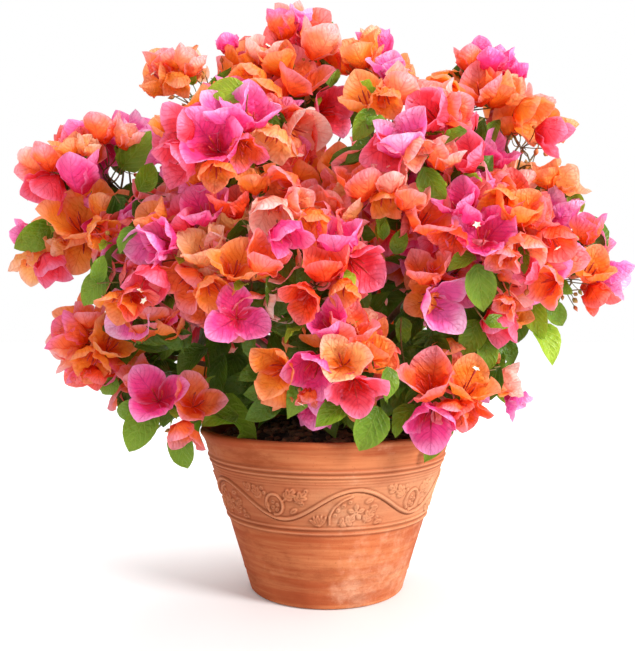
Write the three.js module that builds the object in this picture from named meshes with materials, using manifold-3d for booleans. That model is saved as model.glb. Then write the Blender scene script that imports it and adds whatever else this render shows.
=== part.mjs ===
// A bougainvillea bush in its round terracotta pot.
// Millimetres, +Z up. The origin is the centre of the pot's flat underside, and
// +X runs to the right of somebody who looks at the bush along +Y.
//
// The pieces: the pot, the soil that fills it, the short flared trunk, a bough to
// each mass of foliage, and the masses. A mass is one closed solid: twigs on a
// stem, a cup of three bracts at the end of each twig, and leaves along the twigs.

import * as THREE from 'three';
import { mergeVertices } from 'three/addons/utils/BufferGeometryUtils.js';
import Module from 'manifold-3d';

const wasm = await Module();
wasm.setup();

// ---- driving dimensions -----------------------------------------------------

const CLEAR = 0.3;              // air between pieces that touch on the real plant
const FINEST_EDGE = 0.03;       // shorter edges are closed up where pieces are fused

const POT_HEIGHT = 158;
const POT_FOOT_R = 75.7;        // at the top of the rounded bottom edge
const POT_RIM_R = 125.3;
const POT_WALL = 9;
const POT_FLOOR = 13;
const POT_SIDES = 42;
const LOWER_BAND_Z = 73.5;      // raised double line under the frieze
const UPPER_BAND_Z = 129;       // raised double line over the frieze

const SOIL_EDGE_Z = 146;
const SOIL_TOP_Z = 164;         // the root ball stands a little proud of the edge
const TRUNK_SEAT_R = 30;        // level patch the trunk stands on

const TRUNK_HEIGHT = 50;
const TRUNK_R = 15.5;
const TRUNK_FLARE_R = 24;
const TRUNK_LEAN = new THREE.Vector2(0.06, -0.05);   // mm sideways for each mm up
const TRUNK_SIDES = 12;

const BOUGH_BASE_R = 3.2;
const BOUGH_TIP_R = 2.0;
const BOUGH_SIDES = 5;
const BOUGH_STEPS = 5;
const BOUGH_ARCH = 0.07;        // rise of the middle of a bough, as a share of its length
const BOUGH_SPACING = 8.2;      // between the middle lines of two boughs

const STEM_R = 2.4;             // foot of the stem inside a mass
const TWIG_R = 1.5;
const TWIG_TIP_R = 0.95;
const BRACT_LENGTH = 54;
const BRACT_DIP = 0.68;         // how deep the cup's edge dips between two bracts
const CUP_THICK = 3;
const KNOT_LENGTH = 4;          // of the twig that a pair of leaves grows from
const BRACT_OPENING = THREE.MathUtils.degToRad(54);  // between a bract and its flower's axis
const LEAF_LENGTH = 62;
const LEAF_SHAPE = 0.68;        // width over length
const LEAF_THICK = 2.2;
const CELL_OVERLAP = 14;        // how far leaves may interlock with those of the next mass
const MASS_GAP = 0.6;           // least air between two masses
const LIMB_MARGIN = 3.2;        // from leaves and twigs to a bough

// The masses: the middle of each and how far its tips reach from there.
const MASSES = {
  top: { at: [-25, -8, 506], reach: 74 },
  top_left: { at: [-118, -18, 470], reach: 78 },
  left_upper: { at: [-216, -30, 402], reach: 81 },
  left: { at: [-240, 4, 330], reach: 78 },
  left_lower: { at: [-196, -26, 242], reach: 82 },
  low_left: { at: [-128, -52, 188], reach: 78 },
  low_right: { at: [92, -88, 209], reach: 76 },
  right_lower: { at: [164, -22, 248], reach: 78 },
  right: { at: [232, 8, 316], reach: 78 },
  right_upper: { at: [192, -18, 412], reach: 79 },
  top_right: { at: [142, -2, 480], reach: 76 },
  crown: { at: [52, -6, 486], reach: 76 },
  front_upper_left: { at: [-88, -106, 402], reach: 92 },
  front_upper_right: { at: [62, -110, 394], reach: 92 },
  front_left: { at: [-144, -100, 304], reach: 86 },
  front_middle: { at: [-36, -142, 304], reach: 90 },
  front_right: { at: [128, -104, 318], reach: 90 },
  front_low: { at: [0, -136, 226], reach: 78 },
  back_left: { at: [-146, 100, 310], reach: 112 },
  back_right: { at: [144, 100, 312], reach: 112 },
  back_upper: { at: [0, 92, 418], reach: 112 },
  back_low: { at: [0, 128, 262], reach: 112 },
};
const HEART = new THREE.Vector3(0, 0, 300);          // the bush's middle, where no mass grows
const TWIGS_PER_REACH = 0.4;    // directions tried round a mass for each mm of its reach
const TRIALS = 15;              // places tried along each direction, from the outside in
const FLOWER_SPACING = 33;
const LEAF_SPACING = 22;
const FIRST_SEED = 2203;
const FACES_SPENT = 58;         // crossing faces allowed where a sprig is fused on

const COLOURS = {
  pot: 0xc9794f, soil: 0x2b1f18, trunk: 0x7a6348, bough: 0x86704f,
  masses: [0xee5b55, 0xf27d4a, 0xe83e8c, 0xe754b5, 0xf26b5e],
};

// ---- helpers ----------------------------------------------------------------

/** A seeded stream of numbers from 0 to 1. */
function stream(seed) {
  let state = seed >>> 0;
  return () => {
    state = (state + 0x6d2b79f5) >>> 0;
    let t = state;
    t = Math.imul(t ^ (t >>> 15), t | 1);
    t ^= t + Math.imul(t ^ (t >>> 7), t | 61);
    return ((t ^ (t >>> 14)) >>> 0) / 4294967296;
  };
}

/** Turns a closed geometry into a solid that can be joined and cut. */
function solidOf(geometry) {
  const bare = geometry.index ? geometry.clone() : geometry;
  for (const name of Object.keys(bare.attributes)) if (name !== 'position') bare.deleteAttribute(name);
  const merged = mergeVertices(bare, 1e-4);
  return new wasm.Manifold(new wasm.Mesh({
    numProp: 3,
    vertProperties: Float32Array.from(merged.attributes.position.array),
    triVerts: Uint32Array.from(merged.index.array),
  }));
}

/** Turns a solid back into a geometry. */
function geometryOf(solid) {
  const mesh = solid.getMesh();
  const geometry = new THREE.BufferGeometry();
  geometry.setAttribute('position', new THREE.BufferAttribute(Float32Array.from(mesh.vertProperties), 3));
  geometry.setIndex(new THREE.BufferAttribute(Uint32Array.from(mesh.triVerts), 1));
  return geometry;
}

/** The outer skin of the largest piece: loose scraps go, and a sealed hollow is filled. */
function largestPiece(solid) {
  let best = null;
  for (const piece of solid.decompose()) if (!best || piece.volume() > best.volume()) best = piece;
  return best.asOriginal().simplify(FINEST_EDGE);
}

/** True where each edge of a geometry is shared by just two faces, corners 0.01 mm apart as one. */
function isClosed(geometry) {
  const { array } = geometry.attributes.position;
  const keys = [];
  for (let i = 0; i < array.length; i += 3) {
    keys.push([0, 1, 2].map((k) => Math.round(array[i + k] * 100)).join(','));
  }
  const numbers = new Map();
  const corner = keys.map((key) => numbers.get(key) ?? (numbers.set(key, numbers.size), numbers.size - 1));
  const edges = new Set();
  const index = geometry.index.array;
  for (let i = 0; i < index.length; i += 3) {
    for (let k = 0; k < 3; k += 1) {
      const edge = `${corner[index[i + k]]}>${corner[index[i + ((k + 1) % 3)]]}`;
      if (edges.has(edge)) return false;
      edges.add(edge);
    }
  }
  return [...edges].every((edge) => edges.has(edge.split('>').reverse().join('>')));
}

/** A closed geometry from corner points and triangles of corner numbers. */
function closedGeometry(points, triangles) {
  const geometry = new THREE.BufferGeometry();
  geometry.setAttribute('position', new THREE.BufferAttribute(Float32Array.from(points.flatMap((p) => p.toArray())), 3));
  geometry.setIndex(triangles.flat());
  return geometry;
}

/** Two directions at right angles to an axis and to each other. */
function crossAxes(axis) {
  const helper = Math.abs(axis.z) < 0.9 ? new THREE.Vector3(0, 0, 1) : new THREE.Vector3(1, 0, 0);
  const u = new THREE.Vector3().crossVectors(helper, axis).normalize();
  return [u, new THREE.Vector3().crossVectors(axis, u).normalize()];
}

/** A closed tube with flat ends: rings of `sides` corners round points with a radius each. */
function limb(points, radii, sides, shape = () => 1, upright = false) {
  const corners = [];
  const triangles = [];
  let [u] = crossAxes(new THREE.Vector3().subVectors(points[1], points[0]).normalize());
  points.forEach((point, i) => {
    const before = points[Math.max(i - 1, 0)];
    const after = points[Math.min(i + 1, points.length - 1)];
    const along = upright ? new THREE.Vector3(0, 0, 1) : new THREE.Vector3().subVectors(after, before).normalize();
    u = u.clone().addScaledVector(along, -u.dot(along)).normalize();
    const v = new THREE.Vector3().crossVectors(along, u);
    for (let k = 0; k < sides; k += 1) {
      const turn = (2 * Math.PI * k) / sides;
      const r = radii[i] * shape(turn, i);
      corners.push(point.clone().addScaledVector(u, r * Math.cos(turn)).addScaledVector(v, r * Math.sin(turn)));
    }
  });
  for (let i = 0; i + 1 < points.length; i += 1) {
    for (let k = 0; k < sides; k += 1) {
      const a = i * sides + k;
      const b = i * sides + ((k + 1) % sides);
      triangles.push([a, b, b + sides], [a, b + sides, a + sides]);
    }
  }
  const last = (points.length - 1) * sides;
  for (let k = 1; k + 1 < sides; k += 1) {
    triangles.push([0, k + 1, k], [last, last + k, last + k + 1]);
  }
  return closedGeometry(corners, triangles);
}

/**
 * A sprig as one closed skin: a three-sided twig, leaves that grow out of its sides at one
 * knot, and at its end a cup of three pointed bracts. Returns its corners, its triangles and,
 * for the clearance tests, the corners and triangles of the cup and of each leaf.
 */
function sprig({ from, root, axis, spin, bract, knot, leaves }) {
  const along = new THREE.Vector3().subVectors(root, from).normalize();
  const [e1, e2] = crossAxes(along);
  const corners = [];
  const triangles = [];
  const ring = (point, radius, u, v) => [0, 1, 2].forEach((k) => {
    const turn = spin + (k * 2 * Math.PI) / 3;
    corners.push(point.clone().addScaledVector(u, radius * Math.cos(turn)).addScaledVector(v, radius * Math.sin(turn)));
  });
  const u = e1.clone().addScaledVector(axis, -e1.dot(axis)).normalize();
  const v = new THREE.Vector3().crossVectors(axis, u);
  const knotLow = from.clone().lerp(root, knot);
  ring(from, TWIG_R, e1, e2);
  ring(knotLow, TWIG_R * 0.9, e1, e2);
  ring(knotLow.clone().addScaledVector(along, KNOT_LENGTH), TWIG_R * 0.85, e1, e2);
  ring(root, TWIG_TIP_R, u, v);
  triangles.push([0, 2, 1]);
  const skinned = leaves.map((leaf) => leaf.face);
  for (let level = 0; level < 3; level += 1) {
    for (let k = 0; k < 3; k += 1) {
      if (level === 1 && skinned.includes(k)) continue;
      const a = level * 3 + k;
      const b = level * 3 + ((k + 1) % 3);
      triangles.push([a, b, b + 3], [a, b + 3, a + 3]);
    }
  }
  // the bracts: six corners round a cone, tips and dips by turns, and the middle of the cup
  const rim = corners.length;
  for (let c = 0; c < 6; c += 1) {
    const slant = bract.length * (c % 2 ? BRACT_DIP : 1);
    const turn = spin + bract.twist + (c * Math.PI) / 3;
    corners.push(root.clone().addScaledVector(axis, slant * Math.cos(BRACT_OPENING))
      .addScaledVector(u, slant * Math.sin(BRACT_OPENING) * Math.cos(turn))
      .addScaledVector(v, slant * Math.sin(BRACT_OPENING) * Math.sin(turn)));
  }
  const cup = corners.length;
  corners.push(root.clone().addScaledVector(axis, CUP_THICK));
  const cupTriangles = [];
  for (let c = 0; c < 6; c += 1) cupTriangles.push([cup, rim + c, rim + ((c + 1) % 6)]);
  triangles.push(...cupTriangles);
  for (let k = 0; k < 3; k += 1) {
    const here = 9 + k;
    const next = 9 + ((k + 1) % 3);
    const tip = rim + 2 * k;
    const dip = rim + 2 * k + 1;
    const dipBefore = rim + ((2 * k + 5) % 6);
    triangles.push([here, tip, dipBefore], [here, dip, tip], [here, next, dip]);
  }
  const outlines = [cupTriangles];
  for (const { face, length, width, forward, droop } of leaves) {
    const [a0, a1] = [3 + face, 3 + ((face + 1) % 3)];
    const [b0, b1] = [a0 + 3, a1 + 3];
    const side = new THREE.Vector3().subVectors(corners[a1], corners[a0]).normalize();
    const radial = new THREE.Vector3().crossVectors(side, along).normalize();
    const way = radial.clone().multiplyScalar(Math.cos(forward)).addScaledVector(along, Math.sin(forward));
    way.z -= droop;
    way.addScaledVector(side, -way.dot(side)).normalize();
    const normal = new THREE.Vector3().crossVectors(way, side).normalize();
    const foot = corners[a0].clone().add(corners[b1]).multiplyScalar(0.5);
    const widest = foot.clone().addScaledVector(way, 0.42 * length);
    const first = corners.length;
    corners.push(widest.clone().addScaledVector(side, -width / 2),
      foot.clone().addScaledVector(way, length).addScaledVector(normal, -0.1 * length),
      widest.clone().addScaledVector(side, width / 2),
      widest.clone().addScaledVector(normal, LEAF_THICK / 2 - 2), widest.clone().addScaledVector(normal, -LEAF_THICK / 2 - 2));
    const [L, T, R, O, U] = [0, 1, 2, 3, 4].map((k) => first + k);
    triangles.push([a0, a1, U], [a1, R, U], [R, T, U], [T, L, U], [L, a0, U], [a1, b1, R],
      [b1, b0, O], [b0, L, O], [L, T, O], [T, R, O], [R, b1, O], [b0, a0, L]);
    outlines.push([[b0, L, O], [L, T, O], [T, R, O], [R, b1, O]]);
  }
  return { corners, triangles, outlines, line: [from, knotLow, root] };
}

/** Points spread over triangles, for clearance tests. */
function spread(corners, triangles) {
  const points = [];
  for (const [a, b, c] of triangles) {
    for (const [i, j, k] of [[1, 0, 0], [0, 1, 0], [2, 2, 2], [4, 1, 1], [1, 4, 1], [1, 1, 4], [3, 3, 0], [0, 3, 3], [3, 0, 3]]) {
      const sum = i + j + k;
      points.push(corners[a].clone().multiplyScalar(i / sum)
        .addScaledVector(corners[b], j / sum).addScaledVector(corners[c], k / sum));
    }
  }
  return points;
}

/** The distance from a point to the piece of line between two others. */
function distanceToSegment(p, a, b) {
  const ab = new THREE.Vector3().subVectors(b, a);
  const t = THREE.MathUtils.clamp(new THREE.Vector3().subVectors(p, a).dot(ab) / ab.lengthSq(), 0, 1);
  return p.distanceTo(ab.multiplyScalar(t).add(a));
}

// ---- pot and soil -----------------------------------------------------------

const wallSlope = (POT_RIM_R - 5 - POT_FOOT_R) / (POT_HEIGHT - 12 - 2.5);
const wallR = (z) => POT_FOOT_R + wallSlope * (z - 2.5);

const potProfile = [
  [0, 0], [POT_FOOT_R - 2.7, 0], [POT_FOOT_R, 2.5], [wallR(18), 18], [wallR(19.5) + 0.5, 19.5],
  [wallR(LOWER_BAND_Z - 4), LOWER_BAND_Z - 4], [wallR(LOWER_BAND_Z) + 1.4, LOWER_BAND_Z],
  [wallR(LOWER_BAND_Z + 4), LOWER_BAND_Z + 4],
  [wallR(UPPER_BAND_Z - 4), UPPER_BAND_Z - 4], [wallR(UPPER_BAND_Z) + 1.4, UPPER_BAND_Z],
  [wallR(UPPER_BAND_Z + 4), UPPER_BAND_Z + 4],
  [POT_RIM_R - 5.2, POT_HEIGHT - 13], [POT_RIM_R - 1.2, POT_HEIGHT - 6], [POT_RIM_R, POT_HEIGHT - 2.5],
  [POT_RIM_R - 2, POT_HEIGHT], [POT_RIM_R - POT_WALL + 1.5, POT_HEIGHT], [POT_RIM_R - POT_WALL - 1, POT_HEIGHT - 3],
  [wallR(SOIL_EDGE_Z) - POT_WALL, SOIL_EDGE_Z - 8], [wallR(POT_FLOOR) - POT_WALL, POT_FLOOR], [0, POT_FLOOR],
].map(([r, z]) => new THREE.Vector2(r, z));

/** The radius of the pot's inner face at a height. */
function innerR(z) {
  const low = potProfile[18];
  const high = potProfile[17];
  return low.x + ((high.x - low.x) * (z - low.y)) / (high.y - low.y);
}

/** The height of the soil at a distance from the pot's axis. */
const soilZ = (r) => (r <= TRUNK_SEAT_R ? SOIL_TOP_Z
  : SOIL_TOP_Z - (SOIL_TOP_Z - SOIL_EDGE_Z) * ((r - TRUNK_SEAT_R) / (innerR(138) - TRUNK_SEAT_R)) ** 1.4);

const soilEdge = innerR(SOIL_EDGE_Z - 8) - CLEAR * 1.5;
const soilProfile = [
  [0, POT_FLOOR + CLEAR], [innerR(POT_FLOOR) - CLEAR * 2, POT_FLOOR + CLEAR],
  [soilEdge, SOIL_EDGE_Z - 8], [soilEdge, soilZ(soilEdge)],
  [82, soilZ(82)], [56, soilZ(56)], [TRUNK_SEAT_R, SOIL_TOP_Z], [0, SOIL_TOP_Z],
].map(([r, z]) => new THREE.Vector2(r, z));

/** A solid of revolution about Z from a profile of radius and height. */
function turned(profile, sides) {
  const geometry = new THREE.LatheGeometry(profile, sides);
  geometry.rotateX(Math.PI / 2);
  return geometry;
}

/** True where a point keeps clear of the pot and the soil. */
function clearOfPot(p, margin) {
  const r = Math.hypot(p.x, p.y);
  if (p.z > POT_HEIGHT + margin && r > innerR(138)) return true;
  if (r <= innerR(138)) return p.z > Math.max(soilZ(r), r > innerR(138) - 8 ? POT_HEIGHT : 0) + margin;
  const z = Math.max(p.z, 2.5);
  return r > Math.max(wallR(z), z > POT_HEIGHT - 16 ? POT_RIM_R : 0) + margin + 1.4;
}

// ---- trunk and boughs -------------------------------------------------------

const trunkRings = [[0, TRUNK_FLARE_R], [5, 19.5], [12, 16.8], [24, TRUNK_R], [36, TRUNK_R - 0.3], [44, 12], [TRUNK_HEIGHT, 5]];
const trunkPoint = (h) => new THREE.Vector3(TRUNK_LEAN.x * h, TRUNK_LEAN.y * h, SOIL_TOP_Z + CLEAR + h);
const flutes = (turn, ring) => 1 + [0.14, 0.1, 0.05, 0, 0, 0, 0][ring] * Math.cos(5 * turn);

/** The trunk, or the same shape grown evenly, which cuts the boughs' seats. */
function trunkGeometry(grow) {
  return limb(trunkRings.map(([h], i) => trunkPoint(i + 1 < trunkRings.length ? h : h + grow)),
    trunkRings.map(([, r]) => r + grow), TRUNK_SIDES, flutes, true);
}

/** Which rings of the trunk the boughs leave from: the low boughs first. */
const FORK_RINGS = [{ count: 6, h: 13 }, { count: 8, h: 24 }, { count: 4, h: 35 }, { count: 4, h: 45 }];

/** Gives each mass the height and the turn at which its bough leaves the trunk. */
function dealBoughs() {
  const fork = trunkPoint(TRUNK_HEIGHT * 0.6);
  const rows = Object.entries(MASSES).map(([name, { at, reach }]) => {
    const centre = new THREE.Vector3(...at);
    const out = new THREE.Vector3().subVectors(centre, fork);
    return { name, centre, reach, climb: out.z / Math.hypot(out.x, out.y), turn: Math.atan2(out.y, out.x) };
  }).sort((a, b) => a.climb - b.climb);
  let first = 0;
  for (const ring of FORK_RINGS) {
    const group = rows.slice(first, first + ring.count).sort((a, b) => a.turn - b.turn);
    first += ring.count;
    const step = (2 * Math.PI) / group.length;
    const shift = group.reduce((sum, row, k) => sum + row.turn - k * step, 0) / group.length;
    group.forEach((row, k) => { row.h = ring.h; row.leaves = 0.75 * (shift + k * step) + 0.25 * row.turn; });
  }
  return rows;
}

/** The points of a bough: out of the trunk, over an arch, to where it enters its mass. */
function boughPath({ centre, reach, h, leaves }, arch, swerve) {
  const out = new THREE.Vector3(Math.cos(leaves), Math.sin(leaves), 0);
  const start = trunkPoint(h).addScaledVector(out, TRUNK_R * 0.44);
  const way = new THREE.Vector3().subVectors(centre, start);
  const length = way.length();
  const end = centre.clone().addScaledVector(way, -(0.62 * reach) / length);
  const bend = start.clone().lerp(end, 0.42).addScaledVector(out, 0.05 * length);
  bend.addScaledVector(new THREE.Vector3(-out.y, out.x, 0), swerve * length);
  bend.z += arch * length;
  return new THREE.QuadraticBezierCurve3(start, bend, end).getSpacedPoints(BOUGH_STEPS);
}

/** The least distance between two boughs' middle lines, outside the trunk. */
function apart(one, other) {
  let least = Infinity;
  for (let k = 0; k <= 40; k += 1) {
    const t = (k / 40) * BOUGH_STEPS;
    const i = Math.min(Math.floor(t), BOUGH_STEPS - 1);
    const p = one[i].clone().lerp(one[i + 1], t - i);
    if (Math.hypot(p.x, p.y) < TRUNK_R - 1 && p.z < SOIL_TOP_Z + TRUNK_HEIGHT - 6) continue;
    for (let j = 0; j < BOUGH_STEPS; j += 1) least = Math.min(least, distanceToSegment(p, other[j], other[j + 1]));
  }
  return least;
}

/** Lays the boughs one by one, each with the least arch and swerve that clears the ones before. */
function layBoughs() {
  const laid = [];
  for (const row of dealBoughs()) {
    const radii = Array.from({ length: BOUGH_STEPS + 1 }, (_, i) => THREE.MathUtils.lerp(BOUGH_BASE_R, BOUGH_TIP_R, i / BOUGH_STEPS));
    let best = null;
    for (const swerve of [0, 0.04, -0.04, 0.08, -0.08, 0.12, -0.12]) {
      for (const arch of [BOUGH_ARCH, BOUGH_ARCH + 0.05, BOUGH_ARCH - 0.04, BOUGH_ARCH + 0.1]) {
        const points = boughPath(row, arch, swerve);
        const least = Math.min(Infinity, ...laid.map((other) => apart(points, other.points)));
        if (!best || (best.least < BOUGH_SPACING && least > best.least)) best = { points, least };
      }
    }
    laid.push({ ...row, points: best.points, radii });
  }
  return laid;
}

const boughs = layBoughs();

/** True where points keep clear of every bough. */
function clearOfBoughs(points, margin) {
  return boughs.every(({ points: line, radii }) => points.every((p) => {
    for (let i = 0; i + 1 < line.length; i += 1) {
      if (distanceToSegment(p, line[i], line[i + 1]) < Math.max(radii[i], radii[i + 1]) + margin) return false;
    }
    return true;
  }));
}

// ---- masses of foliage ------------------------------------------------------

/** True where points lie in a mass's own space, as far as it may interlock with the others. */
function inOwnSpace(row, points) {
  return boughs.every((other) => {
    if (other === row) return true;
    const apart = row.centre.distanceTo(other.centre);
    return points.every((p) => (p.distanceToSquared(other.centre) - other.reach ** 2)
      - (p.distanceToSquared(row.centre) - row.reach ** 2) > -2 * CELL_OVERLAP * apart);
  });
}

/** Directions spread evenly over a sphere, by turning the golden angle from each to the next. */
function goldenDirections(count, phase) {
  const golden = Math.PI * (3 - Math.sqrt(5));
  return Array.from({ length: count }, (_, k) => {
    const z = 1 - (2 * (k + 0.5)) / count;
    const r = Math.sqrt(1 - z * z);
    return new THREE.Vector3(r * Math.cos(golden * k + phase), r * Math.sin(golden * k + phase), z);
  });
}

/** One mass: a stem from the bough's tip and the sprigs on it that fit among the rest. */
function massSolid(row, seed, grown) {
  const random = stream(seed);
  const tip = row.points[BOUGH_STEPS];
  const along = new THREE.Vector3().subVectors(tip, row.points[BOUGH_STEPS - 1]).normalize();
  const foot = tip.clone().addScaledVector(along, CLEAR);
  const hub = foot.clone().lerp(row.centre, 0.8);
  const outward = new THREE.Vector3().subVectors(row.centre, HEART).normalize();
  const fits = (points, margin) => inOwnSpace(row, points)
    && points.every((p) => clearOfPot(p, 2) && p.distanceTo(row.centre) < row.reach * 1.05)
    && clearOfBoughs(points, margin);
  let mass = solidOf(limb([foot, foot.clone().addScaledVector(along, 5), hub], [STEM_R, STEM_R * 0.95, TWIG_R * 1.2], 3));
  // the mass with a sprig fused on, or nothing where it crosses too much or meets another mass
  const fuse = ({ corners, triangles }, spent) => {
    const piece = solidOf(closedGeometry(corners, triangles));
    const joined = mass.add(piece);
    if (joined.numTri() > mass.numTri() + piece.numTri() + spent) return null;
    return grown.some((other) => other.minGap(piece, 2 * MASS_GAP) < MASS_GAP) ? null : joined;
  };
  const flowers = [];
  const blades = [];
  const count = Math.round(row.reach * TWIGS_PER_REACH);
  const ways = [...goldenDirections(count, random() * 6.28), ...goldenDirections(count, random() * 6.28)]
    .filter((way) => way.dot(outward) > -0.6);
  for (const way of ways) {
    const from = foot.clone().lerp(hub, 0.45 + 0.5 * random());
    const spin = random() * 2.09;
    const full = BRACT_LENGTH * (0.92 + 0.16 * random());
    const knot = 0.3 + 0.35 * random();
    const forwards = [0, 1, 2].map(() => 0.2 + 0.7 * random());
    const lengths = [0, 1, 2].map(() => LEAF_LENGTH * (0.8 + 0.3 * random()));
    for (let trial = 0; trial < TRIALS; trial += 1) {
      // the flower sits where the tips of its bracts just reach the mass's limit, or further in
      const length = full * (1 - 0.28 * (trial / TRIALS));
      const twist = [0, 0.45, -0.45][trial % 3];
      const lateral = length * Math.sin(BRACT_OPENING);
      const limit = row.reach * (1.03 - 0.5 * (trial / TRIALS));
      const depth = Math.sqrt(Math.max(limit ** 2 - lateral ** 2, 100)) - length * Math.cos(BRACT_OPENING);
      const root = row.centre.clone().addScaledVector(way, Math.max(depth, 6));
      const twig = new THREE.Vector3().subVectors(root, from);
      if (twig.length() < 12) continue;
      const axis = way.clone().addScaledVector(twig.normalize(), 0.9).addScaledVector(outward, 0.3).normalize();
      const middle = root.clone().addScaledVector(axis, 18);
      if (flowers.some((other) => other.distanceTo(middle) < FLOWER_SPACING)) continue;
      const plan = { from, root, axis, spin, bract: { length, twist }, knot, leaves: [] };
      const bare = sprig(plan);
      if (!fits(spread(bare.corners, bare.outlines[0]), LIMB_MARGIN) || !fits(spread(bare.line, [[1, 2, 1]]), 2.2)) continue;
      if (!fuse(bare, FACES_SPENT)) continue;
      for (const face of [0, 1, 2]) {
        for (const shrink of [1, 0.85, 0.7]) {
          const leaf = { face, length: lengths[face] * shrink, width: lengths[face] * shrink * LEAF_SHAPE,
            forward: forwards[face], droop: 0.3 };
          const tried = sprig({ ...plan, leaves: [...plan.leaves, leaf] });
          const skin = tried.outlines[tried.outlines.length - 1];
          const heart = tried.corners[skin[1][2]];
          if (blades.some((other) => other.distanceTo(heart) < LEAF_SPACING)) continue;
          if (!fits(spread(tried.corners, skin), LIMB_MARGIN)) continue;
          if (!fuse(tried, FACES_SPENT + 8 * plan.leaves.length)) continue;
          plan.leaves.push(leaf);
          blades.push(heart);
          break;
        }
      }
      mass = fuse(sprig(plan), Infinity);
      flowers.push(middle);
      break;
    }
  }
  return largestPiece(mass);
}

// ---- the assembly -----------------------------------------------------------

const bush = new THREE.Group();

/** Adds one named piece with its own finish. */
function addPiece(name, geometry, colour, roughness) {
  const mesh = new THREE.Mesh(geometry, new THREE.MeshStandardMaterial({ color: colour, roughness, metalness: 0 }));
  mesh.name = name;
  bush.add(mesh);
}

addPiece('pot', turned(potProfile, POT_SIDES), COLOURS.pot, 0.85);
addPiece('soil', turned(soilProfile, POT_SIDES), COLOURS.soil, 0.95);
addPiece('trunk', trunkGeometry(0), COLOURS.trunk, 0.8);

const seatCutter = solidOf(trunkGeometry(CLEAR * 1.6));
for (const row of boughs) {
  const bough = solidOf(limb(row.points, row.radii, BOUGH_SIDES)).subtract(seatCutter);
  addPiece(`bough_${row.name}`, geometryOf(largestPiece(bough)), COLOURS.bough, 0.8);
}
const grown = [];
boughs.forEach((row, k) => {
  let seed = FIRST_SEED + 7 * k;
  let mass = massSolid(row, seed, grown);
  while (!isClosed(geometryOf(mass)) && seed < 10 * FIRST_SEED) {
    seed += 1000;
    mass = massSolid(row, seed, grown);
  }
  grown.push(mass);
  addPiece(`mass_${row.name}`, geometryOf(mass), COLOURS.masses[k % COLOURS.masses.length], 0.7);
});

export default bush;
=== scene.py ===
# %% [markdown]
# # A bougainvillea bush in its terracotta pot
#
# The plant and its pot were laid out as solids first, and this lesson gives them their looks. The
# frame holds the pot, the soil, the trunk, the boughs and one rough solid for each mass of foliage.
# Here the pot gets its worn clay and its scrolling relief, the trunk and boughs get bark, and each
# mass is grown again from its bough's tip as twigs, leaves and nearly a thousand papery blooms.
#
# Shapes are worked out in millimetres, as on a drawing, and put into the meshes in metres.

# %% Load the frame
import math

import bpy
import numpy as np
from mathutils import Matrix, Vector


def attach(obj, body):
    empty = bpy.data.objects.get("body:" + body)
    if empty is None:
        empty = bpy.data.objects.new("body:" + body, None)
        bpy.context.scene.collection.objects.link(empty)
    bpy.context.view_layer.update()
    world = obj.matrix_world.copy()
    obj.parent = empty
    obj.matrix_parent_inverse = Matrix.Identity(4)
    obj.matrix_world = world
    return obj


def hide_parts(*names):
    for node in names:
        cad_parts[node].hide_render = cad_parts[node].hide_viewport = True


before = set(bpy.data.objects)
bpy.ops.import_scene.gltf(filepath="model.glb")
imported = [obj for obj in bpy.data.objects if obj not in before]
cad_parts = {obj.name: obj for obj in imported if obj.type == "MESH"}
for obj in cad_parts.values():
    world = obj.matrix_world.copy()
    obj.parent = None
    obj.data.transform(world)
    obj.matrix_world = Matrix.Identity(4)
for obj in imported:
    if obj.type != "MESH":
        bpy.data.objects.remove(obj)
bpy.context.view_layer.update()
MM = 0.001
NODES = sorted(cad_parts)
MASS_NODES = [name for name in NODES if name.startswith("mass_")]
BOUGH_NODES = [name for name in NODES if name.startswith("bough_")]
print("frame:", len(NODES), "nodes,", len(BOUGH_NODES), "boughs and", len(MASS_NODES), "masses")

# %% [markdown]
# ## The camera
#
# The bush is looked at from 0.8 m away, level, from just over half its height. A level camera keeps
# the pot's sides true, so the little that the picture has to move down is done by a small shift.

# %% Camera
IMAGE_WIDTH, IMAGE_HEIGHT = 635, 651
FOCAL_PIXELS = 800.0
EYE_DISTANCE, EYE_HEIGHT, EYE_SIDE = 800.0, 261.0, -9.1
HORIZON_RISE = 3.5          # pixels that the horizon lies above the picture's middle

camera_data = bpy.data.cameras.new("camera")
camera_data.sensor_width = 36.0
camera_data.lens = camera_data.sensor_width * FOCAL_PIXELS / IMAGE_HEIGHT
camera_data.shift_y = -HORIZON_RISE / IMAGE_HEIGHT
camera_data.clip_start = 0.02
camera = bpy.data.objects.new("camera", camera_data)
camera.location = (EYE_SIDE * MM, -EYE_DISTANCE * MM, EYE_HEIGHT * MM)
camera.rotation_euler = (math.radians(90), 0, 0)
bpy.context.scene.collection.objects.link(camera)
bpy.context.scene.camera = camera
print("camera:", round(camera_data.lens, 2), "mm lens")

# %% [markdown]
# ## Two helpers for meshes
#
# Everything on the plant is a sheet or a tube bent over a grid of points. One helper joins a grid's
# points into four-sided faces, for many copies at once, and one puts arrays into a mesh that rides
# on the frame. Both work on whole arrays, which is what makes a thousand leaves quick.


# %% Mesh helpers
def grid_faces(rows, columns, copies=1, closed=False):
    """Faces of grids of rows by columns points: each face joins a point, the next along its row and
    the two over them. closed joins a row's last point to its first."""
    across = columns if closed else columns - 1
    row, column = np.meshgrid(np.arange(rows - 1), np.arange(across), indexing="ij")
    here = (row * columns + column).ravel()
    beside = (row * columns + (column + 1) % columns).ravel()
    one = np.stack([here, beside, beside + columns, here + columns], axis=1)
    return (one[None] + (np.arange(copies) * rows * columns)[:, None, None]).reshape(-1, 4)


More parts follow.
